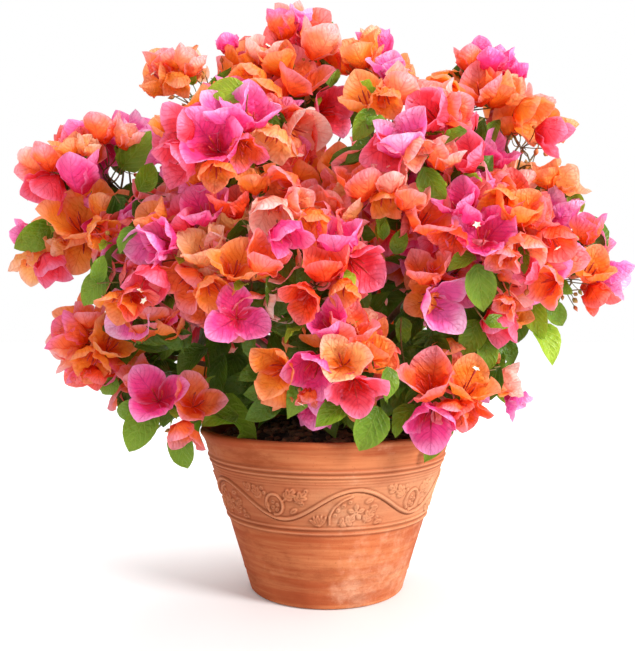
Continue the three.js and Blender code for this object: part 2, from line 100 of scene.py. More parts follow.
def closed_skin(rings, first, last, downwards=False):
    """Points and faces of a skin through rings (rows, columns, 3), closed by a fan of triangles round
    a point at each end. The faces look outwards when the rings climb; downwards turns them round."""
    rows, columns, _ = rings.shape
    points = np.concatenate([rings.reshape(-1, 3), [first], [last]])
    here = np.arange(columns)
    beside = (here + 1) % columns
    top = (rows - 1) * columns
    caps = np.concatenate([np.stack([beside, here, np.full(columns, rows * columns)], 1),
                           np.stack([top + here, top + beside, np.full(columns, rows * columns + 1)], 1)])
    sides = grid_faces(rows, columns, closed=True)
    if downwards:
        return points, [sides[:, ::-1], caps[:, [1, 0, 2]]]
    return points, [sides, caps]


def make_piece(name, points, faces, material, replaced=(), uv=None, values=None):
    """A piece from points in millimetres and a list of face arrays, each with its own number of corners.
    uv is a map with two numbers for each point, and values is a number for each point."""
    faces = [block for block in faces if len(block)]
    mesh = bpy.data.meshes.new(name)
    mesh.vertices.add(len(points))
    mesh.vertices.foreach_set("co", (np.asarray(points) * MM).astype(np.float32).ravel())
    corners = np.concatenate([block.ravel() for block in faces]).astype(np.int32)
    sizes = np.concatenate([np.full(len(block), block.shape[1]) for block in faces])
    mesh.loops.add(len(corners))
    mesh.loops.foreach_set("vertex_index", corners)
    mesh.polygons.add(len(sizes))
    mesh.polygons.foreach_set("loop_start", (np.cumsum(sizes) - sizes).astype(np.int32))
    mesh.polygons.foreach_set("use_smooth", np.ones(len(sizes), dtype=bool))
    mesh.update(calc_edges=True)
    if uv is not None:
        layer = mesh.uv_layers.new(name="OwnMap")
        layer.data.foreach_set("uv", np.asarray(uv)[corners].astype(np.float32).ravel())
    if values is not None:
        attribute = mesh.attributes.new("relief", "FLOAT", "POINT")
        attribute.data.foreach_set("value", np.asarray(values).astype(np.float32).ravel())
    mesh.materials.append(material)
    piece = bpy.data.objects.new(name, mesh)
    bpy.context.scene.collection.objects.link(piece)
    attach(piece, "root")
    if replaced:
        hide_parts(*replaced)
    triangles = int((sizes - 2).sum())
    print(f"  {name}: {triangles} triangles")
    return piece


def unit(vectors):
    """Vectors along the last axis made one long."""
    return vectors / np.maximum(np.linalg.norm(vectors, axis=-1, keepdims=True), 1e-9)


def tubes(paths, radii, sides):
    """Tubes round many paths at once. paths is (copies, steps, 3) and radii (copies, steps). Each
    ring lies across its path, and is turned so that it faces one fixed side of the path's chord. A
    face of as many corners as the tube has sides closes each end."""
    copies, steps, _ = paths.shape
    along = unit(np.gradient(paths, axis=1))
    chord = unit(paths[:, -1] - paths[:, 0])
    helper = np.where(np.abs(chord[:, 2:3]) < 0.8, [[0.0, 0.0, 1.0]], [[1.0, 0.0, 0.0]])
    side = unit(np.cross(helper, chord))[:, None, :]
    u = unit(side - (side * along).sum(-1, keepdims=True) * along)
    v = np.cross(along, u)
    turn = np.linspace(0, 2 * np.pi, sides, endpoint=False)
    ring = np.cos(turn)[:, None] * u[:, :, None, :] + np.sin(turn)[:, None] * v[:, :, None, :]
    points = paths[:, :, None, :] + radii[:, :, None, None] * ring
    first = (np.arange(copies) * steps * sides)[:, None] + np.arange(sides)
    ends = np.concatenate([first[:, ::-1], first + (steps - 1) * sides])
    return points.reshape(-1, 3), [grid_faces(steps, sides, copies, closed=True), ends]


# %% [markdown]
# ## Noise that repeats the same way each time
#
# Clay, bark and soil are never quite even. Value noise gives that: random numbers on a coarse grid,
# joined by a smooth curve. The seed is fixed, so every run throws the same pot.


# %% Value noise
def smooth_noise(u, v, seed, wrap=0):
    """Value noise over two arrays of coordinates: the four nearest random numbers, weighted by
    3t^2 - 2t^3 in each direction, from -1 to 1. wrap is how many cells go round before it repeats."""
    table = np.random.default_rng(seed).uniform(-1, 1, (256, 256))
    iu, iv = np.floor(u).astype(int), np.floor(v).astype(int)
    fu, fv = u - iu, v - iv
    fu, fv = fu * fu * (3 - 2 * fu), fv * fv * (3 - 2 * fv)
    left, right = (iu % wrap, (iu + 1) % wrap) if wrap else (iu % 256, (iu + 1) % 256)
    low, high = iv % 256, (iv + 1) % 256
    under = table[left, low] * (1 - fu) + table[right, low] * fu
    over = table[left, high] * (1 - fu) + table[right, high] * fu
    return under * (1 - fv) + over * fv


# %% [markdown]
# ## Shared shader groups
#
# Several finishes need the same two effects, so each is built once as a node group with named
# inputs: soft mottling between two colours, and the veined, graded colour of a blade, which runs
# from its foot to its tip along the blade's own map. A group only puts out colours and values. The
# Principled shader stays in each material.


# %% Shader helpers
def linear(code):
    """A colour written as six hexadecimal digits, as the linear numbers that shaders use."""
    shown = np.array([int(code[i:i + 2], 16) for i in (0, 2, 4)]) / 255
    flat = np.where(shown <= 0.04045, shown / 12.92, ((shown + 0.055) / 1.055) ** 2.4)
    return (*flat.tolist(), 1.0)


def new_group(name, inputs, outputs):
    """An empty shader group with named sockets, and its input and output nodes."""
    group = bpy.data.node_groups.new(name, "ShaderNodeTree")
    kinds = {"colour": "NodeSocketColor", "number": "NodeSocketFloat", "vector": "NodeSocketVector"}
    for title, kind, value in inputs:
        socket = group.interface.new_socket(title, in_out="INPUT", socket_type=kinds[kind])
        if value is not None:
            socket.default_value = value
    for title, kind in outputs:
        group.interface.new_socket(title, in_out="OUTPUT", socket_type=kinds[kind])
    return group, group.nodes.new("NodeGroupInput"), group.nodes.new("NodeGroupOutput")


def add(tree, kind, settings=None, **inputs):
    """A node with its settings, and each named input either joined to a socket or set to a value."""
    node = tree.nodes.new(kind)
    for key, value in (settings or {}).items():
        setattr(node, key, value)
    for key, value in inputs.items():
        socket = node.inputs[int(key[1:])] if key[0] == "i" and key[1:].isdigit() else node.inputs[
            key.replace("_", " ")]
        if isinstance(value, bpy.types.NodeSocket):
            tree.links.new(value, socket)
        else:
            socket.default_value = value
    return node


def mix_colours(tree, factor, first, second, blend="MIX"):
    """The colour socket of a mix of two colours by a factor."""
    settings = {"data_type": "RGBA", "blend_type": blend}
    return add(tree, "ShaderNodeMix", settings, i0=factor, i6=first, i7=second).outputs[2]


def math_node(tree, operation, *values):
    """The value socket of a sum worked out by a Math node."""
    keys = {f"i{k}": value for k, value in enumerate(values)}
    return add(tree, "ShaderNodeMath", {"operation": operation}, **keys).outputs[0]


def remap(tree, value, low, high, to_low=0.0, to_high=1.0, smooth=False):
    """The value socket of a range from low to high moved to another, along a line or a smooth curve,
    and held at both ends."""
    settings = {"interpolation_type": "SMOOTHSTEP" if smooth else "LINEAR"}
    return add(tree, "ShaderNodeMapRange", settings, Value=value, From_Min=low, From_Max=high,
               To_Min=to_low, To_Max=to_high).outputs[0]


def noise(tree, where, scale, detail=2.0, roughness=0.5):
    """A noise node: its first output is a value and its second a colour."""
    return add(tree, "ShaderNodeTexNoise", Vector=where, Scale=scale, Detail=detail, Roughness=roughness)


def object_place(tree):
    """The socket that gives the place on the object, in metres."""
    return add(tree, "ShaderNodeTexCoord").outputs["Object"]


def ramp(tree, factor, stops):
    """A colour ramp through stops of place and grey, with smooth joins."""
    node = add(tree, "ShaderNodeValToRGB", Fac=factor)
    node.color_ramp.interpolation = "EASE"
    elements = node.color_ramp.elements
    while len(elements) < len(stops):
        elements.new(0.5)
    for element, (place, grey) in zip(elements, stops):
        element.position = place
        element.color = (grey, grey, grey, 1)
    return node.outputs[0]


# %% Group: mottled colour
def build_mottle():
    """Colour A turning to colour B where two scales of noise, taken together, are high."""
    group, inside, outside = new_group(
        "mottle", [("Vector", "vector", None), ("Scale", "number", 20.0), ("Contrast", "number", 0.25),
                   ("Colour A", "colour", None), ("Colour B", "colour", None)],
        [("Colour", "colour"), ("Mask", "number")])
    coarse = noise(group, inside.outputs["Vector"], inside.outputs["Scale"], 4.0, 0.6)
    wide = math_node(group, "SUBTRACT", coarse.outputs[0], 0.5)
    steep = math_node(group, "DIVIDE", wide, inside.outputs["Contrast"])
    settings = {"operation": "ADD", "use_clamp": True}
    mask = add(group, "ShaderNodeMath", settings, i0=steep, i1=0.5).outputs[0]
    colour = mix_colours(group, mask, inside.outputs["Colour A"], inside.outputs["Colour B"])
    group.links.new(colour, outside.inputs["Colour"])
    group.links.new(mask, outside.inputs["Mask"])
    return group


mottle = build_mottle()


# %% Group: veined blade
WHOLE_TURN = 6.283


def build_blade():
    """The colour and vein height of a bract or leaf, from its own map: u across, v from foot to tip.

    Side veins are a sine of v plus a share of the distance from the midrib, so that they slant
    forward. A noise bends them and breaks them up. The midrib is a narrow peak at u = one half."""
    group, inside, outside = new_group(
        "veined_blade",
        [("Foot", "colour", None), ("Middle", "colour", None), ("Tip", "colour", None),
         ("Vein", "colour", None), ("Vein strength", "number", 0.3), ("Vein count", "number", 7.0),
         ("Turn", "number", 0.45)],
        [("Colour", "colour"), ("Height", "number")])
    place = add(group, "ShaderNodeUVMap", {"uv_map": "OwnMap"})
    parts = add(group, "ShaderNodeSeparateXYZ", Vector=place.outputs[0])
    u, v = parts.outputs[0], parts.outputs[1]
    where = object_place(group)

    # from foot to middle to tip, with the turn of each pushed about by blotches
    blotch = noise(group, where, 42.0)
    shift = math_node(group, "MULTIPLY", math_node(group, "SUBTRACT", blotch.outputs[0], 0.5), 0.7)
    along = math_node(group, "ADD", v, shift)
    turn = inside.outputs["Turn"]
    low = mix_colours(group, remap(group, along, 0.14, turn, smooth=True), inside.outputs["Foot"],
                      inside.outputs["Middle"])
    graded = mix_colours(group, remap(group, along, turn, 1.02, smooth=True), low, inside.outputs["Tip"])

    # side veins as a sharpened wave, and the midrib
    off = math_node(group, "ABSOLUTE", math_node(group, "SUBTRACT", u, 0.5))
    fine = noise(group, where, 230.0)
    bend = math_node(group, "MULTIPLY", fine.outputs[0], 1.6)
    slant = math_node(group, "SUBTRACT", v, math_node(group, "MULTIPLY", off, 0.75))
    turns = math_node(group, "MULTIPLY", slant, inside.outputs["Vein count"])
    phase = math_node(group, "ADD", math_node(group, "MULTIPLY", turns, WHOLE_TURN), bend)
    wave = math_node(group, "COSINE", math_node(group, "MULTIPLY", phase, 0.5))
    side = math_node(group, "POWER", math_node(group, "ABSOLUTE", wave), 14.0)
    rib = remap(group, off, 0.022, 0.0, smooth=True)
    vein = math_node(group, "MAXIMUM", math_node(group, "MULTIPLY", side, 0.6), rib)
    amount = math_node(group, "MULTIPLY", vein, inside.outputs["Vein strength"])
    rim = remap(group, off, 0.33, 0.5, to_high=0.55, smooth=True)
    edged = mix_colours(group, rim, graded, inside.outputs["Tip"])
    group.links.new(mix_colours(group, amount, edged, inside.outputs["Vein"]), outside.inputs["Colour"])

    # the papery sheet swells a little between a net of fine veins
    bent = mix_colours(group, 0.006, where, fine.outputs[1], "ADD")
    net = add(group, "ShaderNodeTexVoronoi", {"feature": "DISTANCE_TO_EDGE"}, Vector=bent, Scale=150.0)
    pillow = remap(group, net.outputs[0], 0.0, 0.3, smooth=True)
    relief = math_node(group, "ADD", math_node(group, "MULTIPLY", fine.outputs[0], 0.5),
                       math_node(group, "MULTIPLY", pillow, 0.9))
    group.links.new(math_node(group, "SUBTRACT", relief, vein), outside.inputs["Height"])
    return group


veined_blade = build_blade()
print("groups:", mottle.name, veined_blade.name)


# %% [markdown]
# ## Materials
#
# Bracts and leaves are thin enough for the sun to shine through, which is why a bougainvillea seems
# to glow. Each blade material is a Principled shader mixed with a Translucent one of the same
# colour, and a faint emission in its own colour adds painted light that lifts its shade. Clay, soil and bark
# let nothing through.


# %% Materials
def new_material(name, roughness):
    """A material with one Principled shader, and the handles needed to finish it."""
    material = bpy.data.materials.new(name)
    material.use_nodes = True
    tree = material.node_tree
    shader = tree.nodes["Principled BSDF"]
    shader.inputs["Roughness"].default_value = roughness
    return material, tree, shader


def finish_with_bump(tree, shader, height, strength, distance):
    """Joins a height to the shader's normal, as a bump of so many metres."""
    relief = add(tree, "ShaderNodeBump", Height=height, Strength=strength, Distance=distance)
    tree.links.new(relief.outputs[0], shader.inputs["Normal"])


def blade_material(name, colours, count, turn, through, roughness, bump, painted_glow):
    """A bract's or leaf's finish: graded and veined colour, vein relief and light through it. colours
    are its foot, middle, tip and veins, count the side veins, turn how far up it reaches its middle
    colour, through the share of light let through, and the last a faint glow of its own: painted light that
    lifts the blade's shade."""
    material, tree, shader = new_material(name, roughness)
    foot, middle, tip, vein = (linear(code) for code in colours)
    blade = add(tree, "ShaderNodeGroup", {"node_tree": veined_blade}, Foot=foot, Middle=middle, Tip=tip,
                Vein=vein, Vein_strength=0.4, Vein_count=count, Turn=turn)
    tree.links.new(blade.outputs["Colour"], shader.inputs["Base Color"])
    shader.inputs["Specular IOR Level"].default_value = 0.3
    finish_with_bump(tree, shader, blade.outputs["Height"], bump, 0.0009)
    glow = add(tree, "ShaderNodeBsdfTranslucent", Color=blade.outputs["Colour"])
    # painted light: the blade gives off a faint light in its own colour
    tree.links.new(blade.outputs["Colour"], shader.inputs["Emission Color"])
    shader.inputs["Emission Strength"].default_value = painted_glow
    both = add(tree, "ShaderNodeMixShader", i0=through, i1=shader.outputs[0], i2=glow.outputs[0])
    tree.links.new(both.outputs[0], tree.nodes["Material Output"].inputs["Surface"])
    return material


# Each colour of bloom: foot, middle and tip of the bract, and its veins. The deep, saturated feet are
# the bract's own colour, deepened as painted shade for the inside of the cup.
BLOOM_COLOURS = {
    "orange": ("F0540A", "FF9434", "FFAA7E", "E65C18"),
    "apricot": ("F67418", "FFB86E", "FFD0B4", "F07C44"),
    "scarlet": ("D41A02", "FA5422", "FF8888", "BC1E08"),
    "coral": ("EA3C04", "FF783C", "FFA4B2", "DA3C34"),
    "salmon": ("F25408", "FF9666", "FFC4C4", "E6604E"),
    "blush": ("F4601C", "FFB098", "FFDED8", "EA7E74"),
    "rose": ("E21C10", "FE4E62", "FF96BC", "CC2450"),
    "magenta": ("E01E44", "FC4898", "FFA2D8", "C42E80"),
    "lilac": ("E63080", "FC70C0", "FFC8EC", "D250A2"),
    "sunset": ("EC5204", "FD7440", "FC86BC", "D84632"),
}
BRACT_MATERIALS = {
    name: blade_material(f"bract_{name}", colours, count=8.0, turn=0.54, through=0.46, roughness=0.46,
                         bump=0.8, painted_glow=0.06)
    for name, colours in BLOOM_COLOURS.items()
}
# Each kind of leaf, in the same order. The deep kind's darker green is partly painted shade for
# leaves inside the crown, and the bright kind's lighter green partly painted light and sheen on sunlit
# leaves.
LEAF_COLOURS = {
    "bright": ("70921C", "92B22C", "A2C038", "BACC5A"),
    "middle": ("567A16", "6E9220", "7E9E2A", "9AB24A"),
    "deep": ("3E5C14", "50701A", "5C7C20", "768E3A"),
}
LEAF_MATERIALS = {
    name: blade_material(f"leaf_{name}", colours, count=6.0, turn=0.5, through=0.28, roughness=0.36,
                         bump=0.6, painted_glow=0.03)
    for name, colours in LEAF_COLOURS.items()
}
print("blade materials:", len(BRACT_MATERIALS) + len(LEAF_MATERIALS))

# %% [markdown]
# ## The pot
#
# A clay pot like this one is thrown or jiggered on a wheel, so it is a profile turned about the
# axis, and its relief is pressed from a mould. Here the outer wall is a grid: one parameter goes
# round, the other runs along the profile from the middle of the underside, up the wall, over the
# lip and down inside to the floor. The relief is a height added to the wall's radius.

# %% The pot's profile
POT_HEIGHT, POT_FOOT_R, POT_RIM_R, POT_FLOOR = 158.0, 75.7, 125.3, 13.0
RAISED_LINES = ((74.6, 1.7, 1.4), (79.6, 1.3, 1.1), (127.4, 1.4, 1.1), (132.2, 1.6, 1.4),
                (118.9, 0.5, 0.7), (121.4, 0.6, 0.7), (123.9, 0.6, 0.7))    # height, rise, width
BAND_LOW, BAND_HIGH = 80.0, 128.0            # between the two pairs of lines
BAND_FADE = 14.0                # over which the band's dust fades out
POT_COLUMNS = 720
WALL_ROWS, WALL_FIRST_ROW = (22, 78, 5), 8   # under the band, across it and over it
SCROLLS = 5                     # whole waves of the vine round the pot


def wall_r(z):
    """The radius of the plain outer wall: a straight line from the foot to under the rim."""
    return POT_FOOT_R + (POT_RIM_R - 5 - POT_FOOT_R) / (POT_HEIGHT - 12 - 2.5) * (z - 2.5)


def bump(z, centre, width):
    """A smooth bump one high: the bell curve of the distance over the width."""
    return np.exp(-((z - centre) / width) ** 2)


def pot_profile():
    """The profile as distance from the axis and height: flat underside, rounded bottom edge, wall
    with its pairs of raised lines, rolled lip, and the inner wall down to the floor."""
    edge = np.linspace(0, 1, 7)
    low, band, high = WALL_ROWS
    wall = np.concatenate([np.linspace(2.5, 70, low), np.linspace(71, 136, band),
                           np.linspace(137, 145, high)])
    r = wall_r(wall)
    for height, rise, width in RAISED_LINES:
        r = r + rise * bump(wall, height, width)
    r = r - 0.5 * bump(wall, 18.5, 1.4) + 0.35 * bump(wall, 22.0, 2.0)
    lip = np.array([(120.8, 147), (122.2, 149.5), (124.0, 152), (125.1, 154), (125.3, 155.6), (124.6, 157.2),
                    (123.2, 158), (120.5, 158.2), (117.8, 158), (116.2, 156.9), (115.2, 155), (114.4, 151),
                    (112.9, 145), (111.3, 138)])
    inside = np.stack([np.linspace(111.3, 70.0, 6)[1:], np.linspace(138, 13, 6)[1:]], 1)
    turn = edge * np.pi / 2
    rounded = np.stack([73.2 + 2.5 * np.sin(turn), 2.5 - 2.5 * np.cos(turn)], 1)
    under = np.array([(0.0, 0.0), (25, 0), (50, 0), (68, 0)])
    floor = np.array([(35.0, 13.0), (0.0, 13.0)])
    return np.concatenate([under, rounded[:-1], np.stack([r, wall], 1), lip, inside, floor])


profile = pot_profile()
print("pot profile:", len(profile), "points")

# %% [markdown]
# ### The scrolling vine
#
# The band between the two pairs of lines carries a vine in low relief: a stem that waves up and
# down, a spiral tendril curling into each bay, clusters of berries and small lobed leaves. Such a
# relief is a height over a flat strip, so each motif is a set of points with a width, and the
# height at any place falls off with the distance to the nearest of them. One wave is worked out
# and then repeated round the pot.

# %% The vine's motifs
BAND_MIDDLE = 101.5
WAVE_RISE = 14.0
WAVE_LENGTH = 2 * np.pi * wall_r(BAND_MIDDLE) / SCROLLS
PEAK_TURN = math.radians(270 + 13)          # where an arch of the vine stands in front


def stroke(points, width, rise, steps=40):
    """A line through a few points, as many rows of place along, height, half width and rise."""
    points = np.array(points, float)
    t = np.linspace(0, len(points) - 1, steps)
    x = np.interp(t, np.arange(len(points)), points[:, 0])
    z = np.interp(t, np.arange(len(points)), points[:, 1])
    soft = np.convolve(np.pad(x, 3, "edge"), np.ones(7) / 7, "valid"), np.convolve(
        np.pad(z, 3, "edge"), np.ones(7) / 7, "valid")
    return np.stack([*soft, np.full(steps, width), np.full(steps, rise)], 1)


def relief_leaf(x, z, way, length, width=1.9):
    """A small leaf from its foot at x, z: its half width follows a sine, and a groove runs down it."""
    t = np.linspace(0.04, 0.96, 12)
    way = math.radians(way)
    spine = np.stack([x + t * length * math.cos(way), z + t * length * math.sin(way)], 1)
    body = np.column_stack([spine, width * np.sin(np.pi * t) ** 0.8 + 0.3, np.full(12, 1.25)])
    groove = np.column_stack([spine[2:10], np.full(8, 0.55), np.full(8, -0.6)])
    return np.concatenate([body, groove])


def berry(x, z, size=1.7):
    """A round berry with a drilled eye."""
    return np.array([[x, z, size, 1.35], [x, z, 0.75, -1.3]])


def sprig(x, z, way, length, pairs):
    """A short stem with pairs of leaves along it and one at its end."""
    end = x + length * math.cos(math.radians(way)), z + length * math.sin(math.radians(way))
    rows = [stroke([(x, z), end], 0.7, 0.9, 16), relief_leaf(*end, way, 5.0)]
    for k in range(pairs):
        t = (k + 0.5) / pairs
        here = x + (end[0] - x) * t, z + (end[1] - z) * t
        rows += [relief_leaf(*here, way + 52, 5.2), relief_leaf(*here, way - 52, 5.2)]
    return np.concatenate(rows)


def vine_motifs():
    """One wave of the vine, from 0 to its length, with its heights about the band's middle. The
    stem is a cosine with its peak at a quarter. Under the arch a tendril holds a row of berries, a
    fan of leaves, a flower and sprigs. Over the trough a loop of stem holds berries and throws
    up sprigs."""
    s = np.linspace(0, 1, 300, endpoint=False)
    wave = np.sin(2 * np.pi * s)
    stem = np.stack([s * WAVE_LENGTH, WAVE_RISE * wave, np.full(300, 1.5), np.full(300, 1.5)], 1)
    groove = np.stack([s * WAVE_LENGTH, WAVE_RISE * wave - 2.3, np.full(300, 0.7), np.full(300, -0.7)], 1)
    arch, trough = WAVE_LENGTH / 4, WAVE_LENGTH * 3 / 4
    under = [stroke([(-23, -18), (-23, -10), (-19, -2), (-11, 5), (-2, 8.5)], 0.9, 1.1)]
    under += [relief_leaf(-32, -19.5, way, 11, 1.3) for way in (145, 122, 100, 78, 56)]
    under += [berry(x, z) for x, z in ((-18, -9), (-15.5, -4.5), (-10.5, -0.5), (-5, 3))]
    under += [berry(1, -7, 2.2)]
    under += [relief_leaf(1 + 2.4 * math.cos(a), -7 + 2.4 * math.sin(a), math.degrees(a), 5, 1.7)
              for a in np.arange(5) * 2 * np.pi / 5 + 0.3]
    under += [sprig(-15, -18, 20, 11, 2), sprig(10, -17, 62, 9, 2), berry(22, -13), berry(26, -17),
              berry(18, -6), relief_leaf(20, -18, 20, 6), relief_leaf(9, 2, 20, 7),
              relief_leaf(15, -2, -10, 6)]
    turn = np.linspace(-0.55, 1.25, 50) * np.pi
    loop = np.stack([-6 + 8.0 * np.cos(turn), -1.0 + 9.5 * np.sin(turn), np.full(50, 1.2),
                     np.full(50, 1.35)], 1)
    over = [loop, berry(-8, -4), berry(-4, -6), berry(-3, -1), berry(-7, 1.5),
            stroke([(2, 2), (8, 8), (15, 12)], 0.8, 1.1), sprig(5, 4, 50, 8, 2), sprig(14, 2, 45, 9, 2),
            sprig(-20, 3, 118, 8, 2), sprig(-28, 10, 150, 5, 1), berry(-15, 9), berry(-17, 13), berry(24, 13),
            relief_leaf(-13, -6, 100, 7), relief_leaf(9, -8, 35, 7), berry(20, 1)]
    under, over = np.concatenate(under), np.concatenate(over)
    under[:, 0] += arch
    over[:, 0] += trough
    motifs = np.concatenate([stem, groove, under, over])
    motifs[:, 1] += BAND_MIDDLE
    return motifs


def vine_height(columns, heights):
    """The relief in millimetres on a grid of columns round the pot and heights up it. Each motif
    point raises a flat-topped mound, the highest counts where they overlap, and drilled eyes and
    grooves are taken away afterwards."""
    motifs = vine_motifs()
    along = np.arange(columns // SCROLLS) * WAVE_LENGTH / (columns // SCROLLS)
    raised, cut = np.zeros((2, len(heights), len(along)))
    for block in np.array_split(motifs, 24):
        gap = np.abs(along[:, None] - block[None, :, 0] % WAVE_LENGTH)
        gap = np.minimum(gap, WAVE_LENGTH - gap)
        rise = heights[:, None] - block[None, :, 1]
        far = np.sqrt(gap[None] ** 2 + rise[:, None] ** 2) / block[None, None, :, 2]
        edge = np.clip((1.35 - far) / 0.8, 0, 1)
        mound = block[None, None, :, 3] * edge * edge * (3 - 2 * edge)
        raised = np.maximum(raised, mound.max(-1))
        cut = np.minimum(cut, mound.min(-1))
    inside = np.clip((heights - 81.0) / 1.5, 0, 1) * np.clip((119.0 - heights) / 1.5, 0, 1)
    strip = (raised + cut) * inside[:, None]
    shift = int(round((PEAK_TURN / (2 * np.pi)) * columns - len(along) / 4))
    return np.roll(np.tile(strip, (1, SCROLLS)), shift, axis=1)


# %% [markdown]
# ### Turning the pot
#
# Throwing leaves faint rings and the clay is never quite round, so a little noise goes on the
# radius too. The height of the relief is also kept as a value on each point, because the colour
# follows it: the hollows are darkened with dirt and painted shade, and the high places are rubbed pale.


# %% Turn the pot
def build_pot():
    """The pot as one closed skin: rings of the profile, with a point at each end of the axis. Also
    gives how far each point stands over the relief round it, for the colours to follow."""
    radius, z = profile[1:-1, 0], profile[1:-1, 1]
    turn = np.arange(POT_COLUMNS) * 2 * np.pi / POT_COLUMNS
    rows = np.arange(len(z))
    outer = (rows > WALL_FIRST_ROW) & (rows < WALL_FIRST_ROW + sum(WALL_ROWS))
    relief = np.where(outer[:, None], vine_height(POT_COLUMNS, z), 0)
    rings = 0.1 * smooth_noise(turn[None] * 2 / np.pi + 0 * z[:, None], z[:, None] / 2.3, 5, 4)
    uneven = 0.5 * smooth_noise(turn[None] * 8 / (2 * np.pi), z[:, None] / 40, 9, 8)
    pitted = 0.05 * smooth_noise(turn[None] * 120 / np.pi, z[:, None] / 1.6, 11, 240)
    total = relief * 1.25 + np.where(z[:, None] > 1, rings + uneven + pitted, 0)
    wide = radius[:, None] + np.where(radius[:, None] > 60, total, 0)
    skin = np.stack([wide * np.cos(turn), wide * np.sin(turn), z[:, None] + 0 * turn], -1)
    points, faces = closed_skin(skin, [0, 0, 0], [0, 0, POT_FLOOR])
    lines = sum(rise * bump(z, height, width) for height, rise, width in RAISED_LINES)
    relief = relief + lines[:, None]
    near = sum(np.roll(relief, (dz, dx), (0, 1)) for dz in range(-2, 3) for dx in range(-2, 3)) / 25
    # how far each point stands over its neighbours: below zero in the hollows, which the colour darkens with
    # dirt and painted shade
    hollow_shade_and_wear = np.where(outer[:, None], relief - near, 0)
    values = np.concatenate([hollow_shade_and_wear.ravel(), [0, 0]])
    return points, faces, values


def mottled(tree, where, scale, contrast, dark, light):
    """The colour socket of the mottle group at a place, between two colours."""
    body = add(tree, "ShaderNodeGroup", {"node_tree": mottle}, Vector=where, Scale=scale,
               Contrast=contrast, Colour_A=linear(dark), Colour_B=linear(light))
    return body.outputs["Colour"]


def terracotta():
    """Fired clay: warm orange mottled with a duller red, streaked along the throwing rings, with pale
    bloom from watering in patches and on the high places of the relief. Painted shade darkens its left side
    and the hollows of the relief, and painted light lifts the dust on its right side."""
    material, tree, shader = new_material("terracotta", 0.78)
    shader.inputs["Specular IOR Level"].default_value = 0.12
    where = object_place(tree)
    spot = add(tree, "ShaderNodeSeparateXYZ", Vector=where)
    across, height = spot.outputs[0], spot.outputs[2]
    colour = mottled(tree, where, 14.0, 0.5, "913D20", "BF673D")

    # streaks along the throwing rings, then pale patches, and dark damp stains that grow heavier towards the
    # left as painted shade
    flat = add(tree, "ShaderNodeMapping", Vector=where, Scale=(6.0, 6.0, 110.0))
    streak = noise(tree, flat.outputs[0], 1.0, 5.0, 0.65)
    streaks = ramp(tree, streak.outputs[0], [(0.4, 0.0), (0.66, 1.0)])
    colour = mix_colours(tree, math_node(tree, "MULTIPLY", streaks, 0.42), colour, linear("DE9664"))
    patch = noise(tree, where, 9.0, 6.0, 0.7)
    patches = ramp(tree, patch.outputs[0], [(0.53, 0.0), (0.7, 1.0)])
    colour = mix_colours(tree, math_node(tree, "MULTIPLY", patches, 0.6), colour, linear("E2B090"))
    low = add(tree, "ShaderNodeMapping", Vector=where, Location=(3.1, 1.7, 0.4), Scale=(1.0, 1.0, 2.6))
    stain = noise(tree, low.outputs[0], 13.0, 7.0, 0.72)
    stains = ramp(tree, stain.outputs[0], [(0.5, 0.0), (0.68, 1.0)])
    # the stains are made heavier on the left side: painted shade
    left_shade_on_stains = remap(tree, across, -0.12, 0.06, 0.85, 0.45)
    colour = mix_colours(tree, math_node(tree, "MULTIPLY", stains, left_shade_on_stains), colour, linear("8C4424"))
    # the left side darker and redder: painted shade
    painted_shade_left = remap(tree, across, -0.11, 0.0, 0.6, 0.0)
    colour = mix_colours(tree, painted_shade_left, colour, linear("8E3A14"))

    # dust on the band, and more of it towards the right, which is painted light on the lit side
    below = remap(tree, height, (BAND_LOW - BAND_FADE) * MM, (BAND_LOW + BAND_FADE) * MM, smooth=True)
    above = remap(tree, height, (BAND_HIGH + BAND_FADE) * MM, (BAND_HIGH - BAND_FADE) * MM, smooth=True)
    dust_and_lit_side = remap(tree, across, -0.12, 0.12, 0.1, 1.25)
    dust = math_node(tree, "MULTIPLY", math_node(tree, "MULTIPLY", below, above),
                     math_node(tree, "MULTIPLY", patch.outputs[0], dust_and_lit_side))
    colour = mix_colours(tree, dust, colour, linear("C8946E"))

    # dirt and painted shade darken the hollows of the relief, the heights are rubbed pale, and dark specks
    # lie in the clay
    raised = add(tree, "ShaderNodeAttribute", {"attribute_name": "relief"}).outputs["Fac"]
    colour = mix_colours(tree, remap(tree, raised, -0.03, -0.5, to_high=0.75), colour, linear("74381F"))
    colour = mix_colours(tree, remap(tree, raised, 0.1, 0.8, to_high=0.4), colour, linear("E0A27C"))
    specks = ramp(tree, noise(tree, where, 420.0).outputs[0], [(0.28, 1.0), (0.36, 0.0)])
    colour = mix_colours(tree, math_node(tree, "MULTIPLY", specks, 0.35), colour, linear("8E4A2E"))
    tree.links.new(colour, shader.inputs["Base Color"])
    grain = noise(tree, where, 700.0, 4.0, 0.7)
    rough = math_node(tree, "ADD", grain.outputs[0], math_node(tree, "MULTIPLY", streak.outputs[0], 1.2))
    finish_with_bump(tree, shader, rough, 0.45, 0.0005)
    return material


pot_points, pot_faces, pot_values = build_pot()
make_piece("thrown_pot", pot_points, pot_faces, terracotta(), ["pot"], values=pot_values)

# %% [markdown]
# ## The soil
#
# The root ball stands a little proud of the potting mix round it. It is a disc of rings whose
# heights follow that rise, with crumbs as noise of two sizes, closed underneath. Loose chips of bark
# lie on it: each is a little six-sided slab, all made at once and turned by its own random angles.

# %% Soil
SOIL_EDGE_Z, SOIL_TOP_Z, SOIL_UNDER_Z = 146.0, 164.0, 137.0
TRUNK_SEAT_R, SOIL_EDGE_R = 30.0, 110.8


def soil_z(r):
    """The soil's height: level under the trunk, then falling to the pot's wall as a power curve."""
    out = np.clip((r - TRUNK_SEAT_R) / (SOIL_EDGE_R + 0.5 - TRUNK_SEAT_R), 0, None)
    return SOIL_TOP_Z - (SOIL_TOP_Z - SOIL_EDGE_Z) * out ** 1.4


